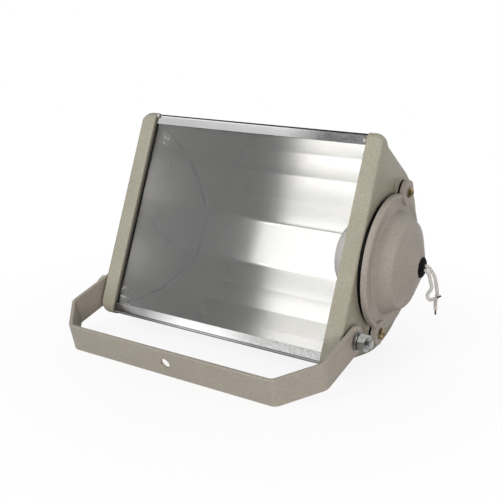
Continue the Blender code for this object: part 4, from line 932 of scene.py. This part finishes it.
def spring_washer():
    """Square-section ring, split, its two cut ends set a little apart."""
    start, end = SPRING_WASHER
    outer, inner, wire = 0.00905, BOLT + GAP, 0.0019
    first, sweep, steps = 100, 350, 60
    bm = bmesh.new()
    rows = []
    for k in range(steps + 1):
        share = k / steps
        angle = math.radians(first + sweep * share)
        x = start + (end - start - wire) * share
        ring = [(inner, x), (outer, x), (outer, x + wire), (inner, x + wire)]
        rows.append([bm.verts.new((px, r * math.cos(angle), r * math.sin(angle)))
                     for r, px in ring])
    for low, high in zip(rows, rows[1:]):
        band(bm, low, high)
    bm.faces.new(rows[0])
    bm.faces.new(rows[-1])
    bmesh.ops.recalc_face_normals(bm, faces=bm.faces[:])
    return mesh_piece("spring_washer_form", bm, None, 40)


def pivots():
    """Both pivots' hardware, the left set turned about to face the other way."""
    places = [((0, 0, 0), (0, 0, 0)), ((0, 0, 0), (0, 0, math.pi))]
    space = HOUSING @ Matrix.Translation(HOUSING.inverted() @ PIVOT)
    for name, form, node in (("pivot_bolts", pivot_bolt(), "pivot_bolt"),
                             ("pivot_nuts", nut(), "pivot_nut"),
                             ("pivot_washers", flat_washer(), "pivot_washer"),
                             ("pivot_spring_washers", spring_washer(), "pivot_spring_washer")):
        set_out(name, form, places, BRIGHT_ZINC, "housing", "bright_zinc",
                [node + "_left", node + "_right"], space)


def pan_head(name, radius, head, rise, length):
    """Pan-head screw along X with a tapered cross recess and a plain shank."""
    bm = lathe([
        (0.0, rise), (head * 0.35, rise * 0.985), (head * 0.6, rise * 0.91),
        (head * 0.8, rise * 0.74), (head * 0.93, rise * 0.48), (head * 0.99, rise * 0.2),
        (head, 0.0), (radius, 0.0), (radius, -length + radius * 0.4), (radius * 0.6, -length),
        (0.0, -length)])
    deep, wide, reach = rise * 0.42, head * 0.11, head * 0.50
    for turn in (0, math.pi / 2):
        slot = bmesh.new()
        bmesh.ops.create_cube(slot, size=1.0)
        for vert in slot.verts:
            outer = vert.co.x > 0
            vert.co = Vector((rise * 1.2 if outer else deep,
                              vert.co.y * 2 * (wide * (1.25 if outer else 0.8)),
                              vert.co.z * 2 * (reach if outer else reach * 0.55)))
        bmesh.ops.rotate(slot, verts=slot.verts[:], cent=(0, 0, 0),
                         matrix=Matrix.Rotation(turn, 3, "X"))
        bm = cut(name, bm, slot)
    return mesh_piece(name, bm, None, 35)


# Screws: shank radius, head radius, head height, length; and where the small ones sit
COVER_SCREW = (0.0030, 0.0059, 0.0038, 0.024)
STRAP_SCREW = (0.0025, 0.0045, 0.003, 0.0055)
HOLDER_SCREW = (0.0020, 0.0036, 0.0024, 0.009)
STRAP_SEAT = 0.0195
HOLDER_SEAT = 0.0221
HOLDER_SPREAD = 0.014


def screws():
    """The cover's two yellow screws, and the small ones that hold the strap and the lampholder."""
    ear = Matrix.Rotation(EAR_TURN, 3, "X") @ Vector((0, 0, EAR_REACH))
    seat = EAR_TOP + GAP
    set_out("cover_screws", pan_head("cover_screw_form", *COVER_SCREW),
            [((seat, ear.y, ear.z), (math.radians(35), 0, 0)),
             ((seat, -ear.y, -ear.z), (math.radians(10), 0, 0))],
            YELLOW_ZINC, "lamp_cover", "yellow_zinc",
            ["cover_screw_top", "cover_screw_bottom"], COVER)
    set_out("strap_screws", pan_head("strap_screw_form", *STRAP_SCREW),
            [((STRAP_SEAT, 0, z), (0, 0, math.pi)) for z in (BOSS_SPREAD, -BOSS_SPREAD)],
            BRIGHT_ZINC, "lamp_cover", "bright_zinc",
            ["strap_screw_top", "strap_screw_bottom"], COVER)
    set_out("lampholder_screws", pan_head("lampholder_screw_form", *HOLDER_SCREW),
            [((HOLDER_SEAT, y, 0), (0, 0, 0)) for y in (-HOLDER_SPREAD, HOLDER_SPREAD)],
            BRIGHT_ZINC, "lamp_cover", "bright_zinc",
            ["lampholder_screw_front", "lampholder_screw_rear"], COVER)


ROD_HALF = 0.1410
ROD_RADIUS = 0.003
ROD_EDGE = 0.0004
ROD_CIRCLE = 0.0863
ROD_TURN = math.radians(64)
REAR_ROD = 0.1535


def tie_rods():
    """Clamping rods behind the trough, with turned ends."""
    half, radius, edge = ROD_HALF, ROD_RADIUS, ROD_EDGE
    high = ROD_CIRCLE * math.sin(ROD_TURN)
    deep = COVER_DEPTH + ROD_CIRCLE * math.cos(ROD_TURN)
    form = mesh_piece("rod_form", lathe([
        (0.0, -half), (radius - edge, -half), (radius, -half + edge), (radius, half - edge),
        (radius - edge, half), (0.0, half)], 24), None, 30)
    set_out("tie_rods", form,
            [((0, y, z), (0, 0, 0)) for y, z in ((deep, high), (deep, -high), (REAR_ROD, 0.0))],
            BRIGHT_ZINC, "housing", "bright_zinc",
            ["tie_rod_top", "tie_rod_bottom", "tie_rod_rear"], HOUSING)


pivots()
screws()
tie_rods()


# Lampholder

MOUTH_ROUND = 0.0028
MOUTH_REACH = 0.0060
LAMP_THREAD = 0.0212
LAMP_THREAD_DEPTH = 0.0010
LAMP_PITCH = 0.0062
LAMP_SHELL = (-0.0335, 0.0052)


def lampholder():
    """Porcelain, contact, strap and inner leads; the porcelain's mouth reaches into the trough."""
    body = welded("lampholder", "lampholder_porcelain", "lamp_cover", "porcelain", PORCELAIN, 50)
    back = COVER.inverted()
    mouth = min((back @ vert.co).x for vert in body.data.vertices)
    for vert in body.data.vertices:
        place = back @ vert.co
        if place.x < mouth + MOUTH_ROUND:
            vert.co = COVER @ (place - Vector((MOUTH_REACH, 0, 0)))
    welded("lampholder_contact", "lampholder_centre_contact", "lamp_cover", "brass", BRASS, 45)
    welded("holder_strap", "holder_strap_steel", "lamp_cover", "bright_zinc", BRIGHT_ZINC)
    for word in ("a", "b"):
        welded("inner_lead_" + word, "inner_lead_%s_sheath" % word, "lamp_cover",
               "white_silicone", WHITE_SILICONE)


def lamp_shell():
    """Rolled screw shell: the same thread inside and out, with its two rims."""
    outer, _ = threaded(LAMP_THREAD + 0.0008, LAMP_THREAD_DEPTH * 0.75, LAMP_PITCH, *LAMP_SHELL, 56)
    inner, _ = threaded(LAMP_THREAD + 0.0003, -LAMP_THREAD_DEPTH * 0.2, LAMP_PITCH, *LAMP_SHELL,
                        56, True)
    shell = merged(outer, inner)
    rims = [edge for edge in shell.edges if len(edge.link_faces) == 1]
    for x in LAMP_SHELL:
        bmesh.ops.bridge_loops(
            shell, edges=[edge for edge in rims if abs(edge.verts[0].co.x - x) < 1e-5])
    bmesh.ops.recalc_face_normals(shell, faces=shell.faces[:])
    piece = mesh_piece("lampholder_screw_shell", shell, BRASS, 60)
    piece.data.transform(COVER)
    return fit(piece, "lamp_cover", "brass", "lampholder_shell")


lampholder()
lamp_shell()


# Stage and light

LIGHT_MIDDLE = Vector((0, 0, 0.12))
CARD_DISTANCE = 2.6
FLOOR_SEEN = (0.94, 0.94, 0.935)
FLOOR_BACK = (0.46, 0.46, 0.455)
FLOOR_SIZE = 6.0
FADE_START = 0.14
FADE_END = 0.40
FADE_LEAST = 0.88
SKY_FILL = 0.36
CLOTH_HEIGHT = 0.001


def seen_rays(tree):
    """1 for rays that show the surroundings: from the camera, off metal or through glass."""
    rays = tree.nodes.new("ShaderNodeLightPath")
    seen = rays.outputs["Is Camera Ray"]
    for ray in ("Is Glossy Ray", "Is Transmission Ray"):
        seen = reckon(tree, "MAXIMUM", seen, rays.outputs[ray])
    return seen


def floor():
    """Pale floor that fades to white away from the light; painted faces get less of it back."""
    made, tree, shader = finish("pale_floor", FLOOR_SEEN, 0.9)
    seen = seen_rays(tree)
    lead_in(tree, shader, Base_Color=blend_colours(tree, seen, FLOOR_BACK, FLOOR_SEEN))
    away = grow(tree, "ShaderNodeVectorMath", {0: coordinates(tree)}, operation="LENGTH")
    whiter = spread(tree, away.outputs["Value"], FADE_START, FADE_END, FADE_LEAST, 1.0)
    white = grow(tree, "ShaderNodeEmission", {"Color": (1, 1, 1, 1), "Strength": 1.0})
    mixed = grow(tree, "ShaderNodeMixShader", {
        0: reckon(tree, "MULTIPLY", whiter, seen), 1: shader.outputs[0], 2: white.outputs[0]})
    tree.links.new(mixed.outputs[0], tree.nodes["Material Output"].inputs["Surface"])
    bm = bmesh.new()
    bmesh.ops.create_grid(bm, x_segments=1, y_segments=1, size=FLOOR_SIZE)
    mesh_piece("floor", bm, made)


def studio_card(name, bm, glow):
    """Card that only bright metal and glass see: black cloth, a lit white panel, or a dark sheet of
    painted shade.
    """
    made, _, _ = finish(name, (0.02, 0.02, 0.02), 0.9, Specular_IOR_Level=0.0,
                        Emission_Color=(1, 1, 1, 1), Emission_Strength=glow)
    card = mesh_piece(name, bm, made)
    card.visible_camera = False
    card.visible_diffuse = False
    card.visible_shadow = False


def standing_card(name, azimuth, height, wide, high, glow):
    """Card that faces the light from an azimuth (from the front, right positive) and a height."""
    bm = bmesh.new()
    bmesh.ops.create_grid(bm, x_segments=1, y_segments=1, size=0.5)
    a, h = math.radians(azimuth), math.radians(height)
    way = Vector((math.sin(a) * math.cos(h), -math.cos(a) * math.cos(h), math.sin(h)))
    place = (Matrix.Translation(way * CARD_DISTANCE + LIGHT_MIDDLE)
             @ way.to_track_quat("Z", "Y").to_matrix().to_4x4())
    bmesh.ops.transform(bm, verts=bm.verts[:], matrix=place @ Matrix.Diagonal((wide, high, 1, 1)))
    studio_card(name, bm, glow)


def floor_card(name, corners, glow):
    """Card laid flat on the floor, seen only by metal and glass."""
    bm = bmesh.new()
    bm.faces.new([bm.verts.new((x, y, CLOTH_HEIGHT)) for x, y in corners])
    bmesh.ops.recalc_face_normals(bm, faces=bm.faces[:])
    studio_card(name, bm, glow)


def lamp(name, place, target, size, power, tint):
    """Soft square lamp that metal and glass don't show."""
    light = bpy.data.lights.new(name, "AREA")
    light.shape = "SQUARE"
    light.size = size
    light.energy = power
    light.color = tint
    made = link(bpy.data.objects.new(name, light))
    made.location = place
    made.rotation_euler = (Vector(target) - Vector(place)).to_track_quat("-Z", "Y").to_euler()
    made.visible_glossy = False
    made.visible_transmission = False


def world():
    """White surroundings for camera, metal and glass, and softer fill for painted faces."""
    made = bpy.data.worlds.new("studio")
    bpy.context.scene.world = made
    made.use_nodes = True
    tree = made.node_tree
    tree.nodes.clear()
    strength = spread(tree, seen_rays(tree), 0.0, 1.0, SKY_FILL, 1.0)
    back = grow(tree, "ShaderNodeBackground", {"Color": (1, 1, 1, 1), "Strength": strength})
    out = tree.nodes.new("ShaderNodeOutputWorld")
    tree.links.new(back.outputs[0], out.inputs["Surface"])


floor()
for card in (("card_right", 55, 25, 4.4, 5.0, 0.08), ("panel_high", -38, 47, 2.6, 1.20, 2.4),
             ("panel_middle", -36, 23, 2.4, 0.92, 1.35), ("panel_low", -32, 3.5, 2.4, 0.87, 2.3),
             ("card_behind", -125, 45, 3.0, 2.5, 0.05)):
    standing_card(*card)
floor_card("card_low", [(0.05, -0.22), (0.05, -3.5), (3.5, -3.5), (3.5, 0.4), (0.30, 0.4),
                        (0.30, -0.10)], 0.05)
# Painted shade: a dark sheet under the object that only metal and glass see, standing in for the
# object's shadow on the floor in reflections.
floor_card("card_under", [(-0.20, -0.068), (0.17, -0.068), (0.17, 0.25), (-0.20, 0.25)], 0.12)
lamp("key_light", (-0.49, -2.05, 1.80), LIGHT_MIDDLE, 0.9, 24, (0.98, 1.0, 0.96))
lamp("side_light", (1.60, -1.4, 0.34), (0.1, 0, 0.10), 0.6, 20, (1.0, 0.915, 0.925))
lamp("back_light", (-1.4, 2.1, 1.7), LIGHT_MIDDLE, 1.2, 22, (1.0, 0.99, 0.97))
world()
bpy.context.scene.view_settings.view_transform = "Standard"
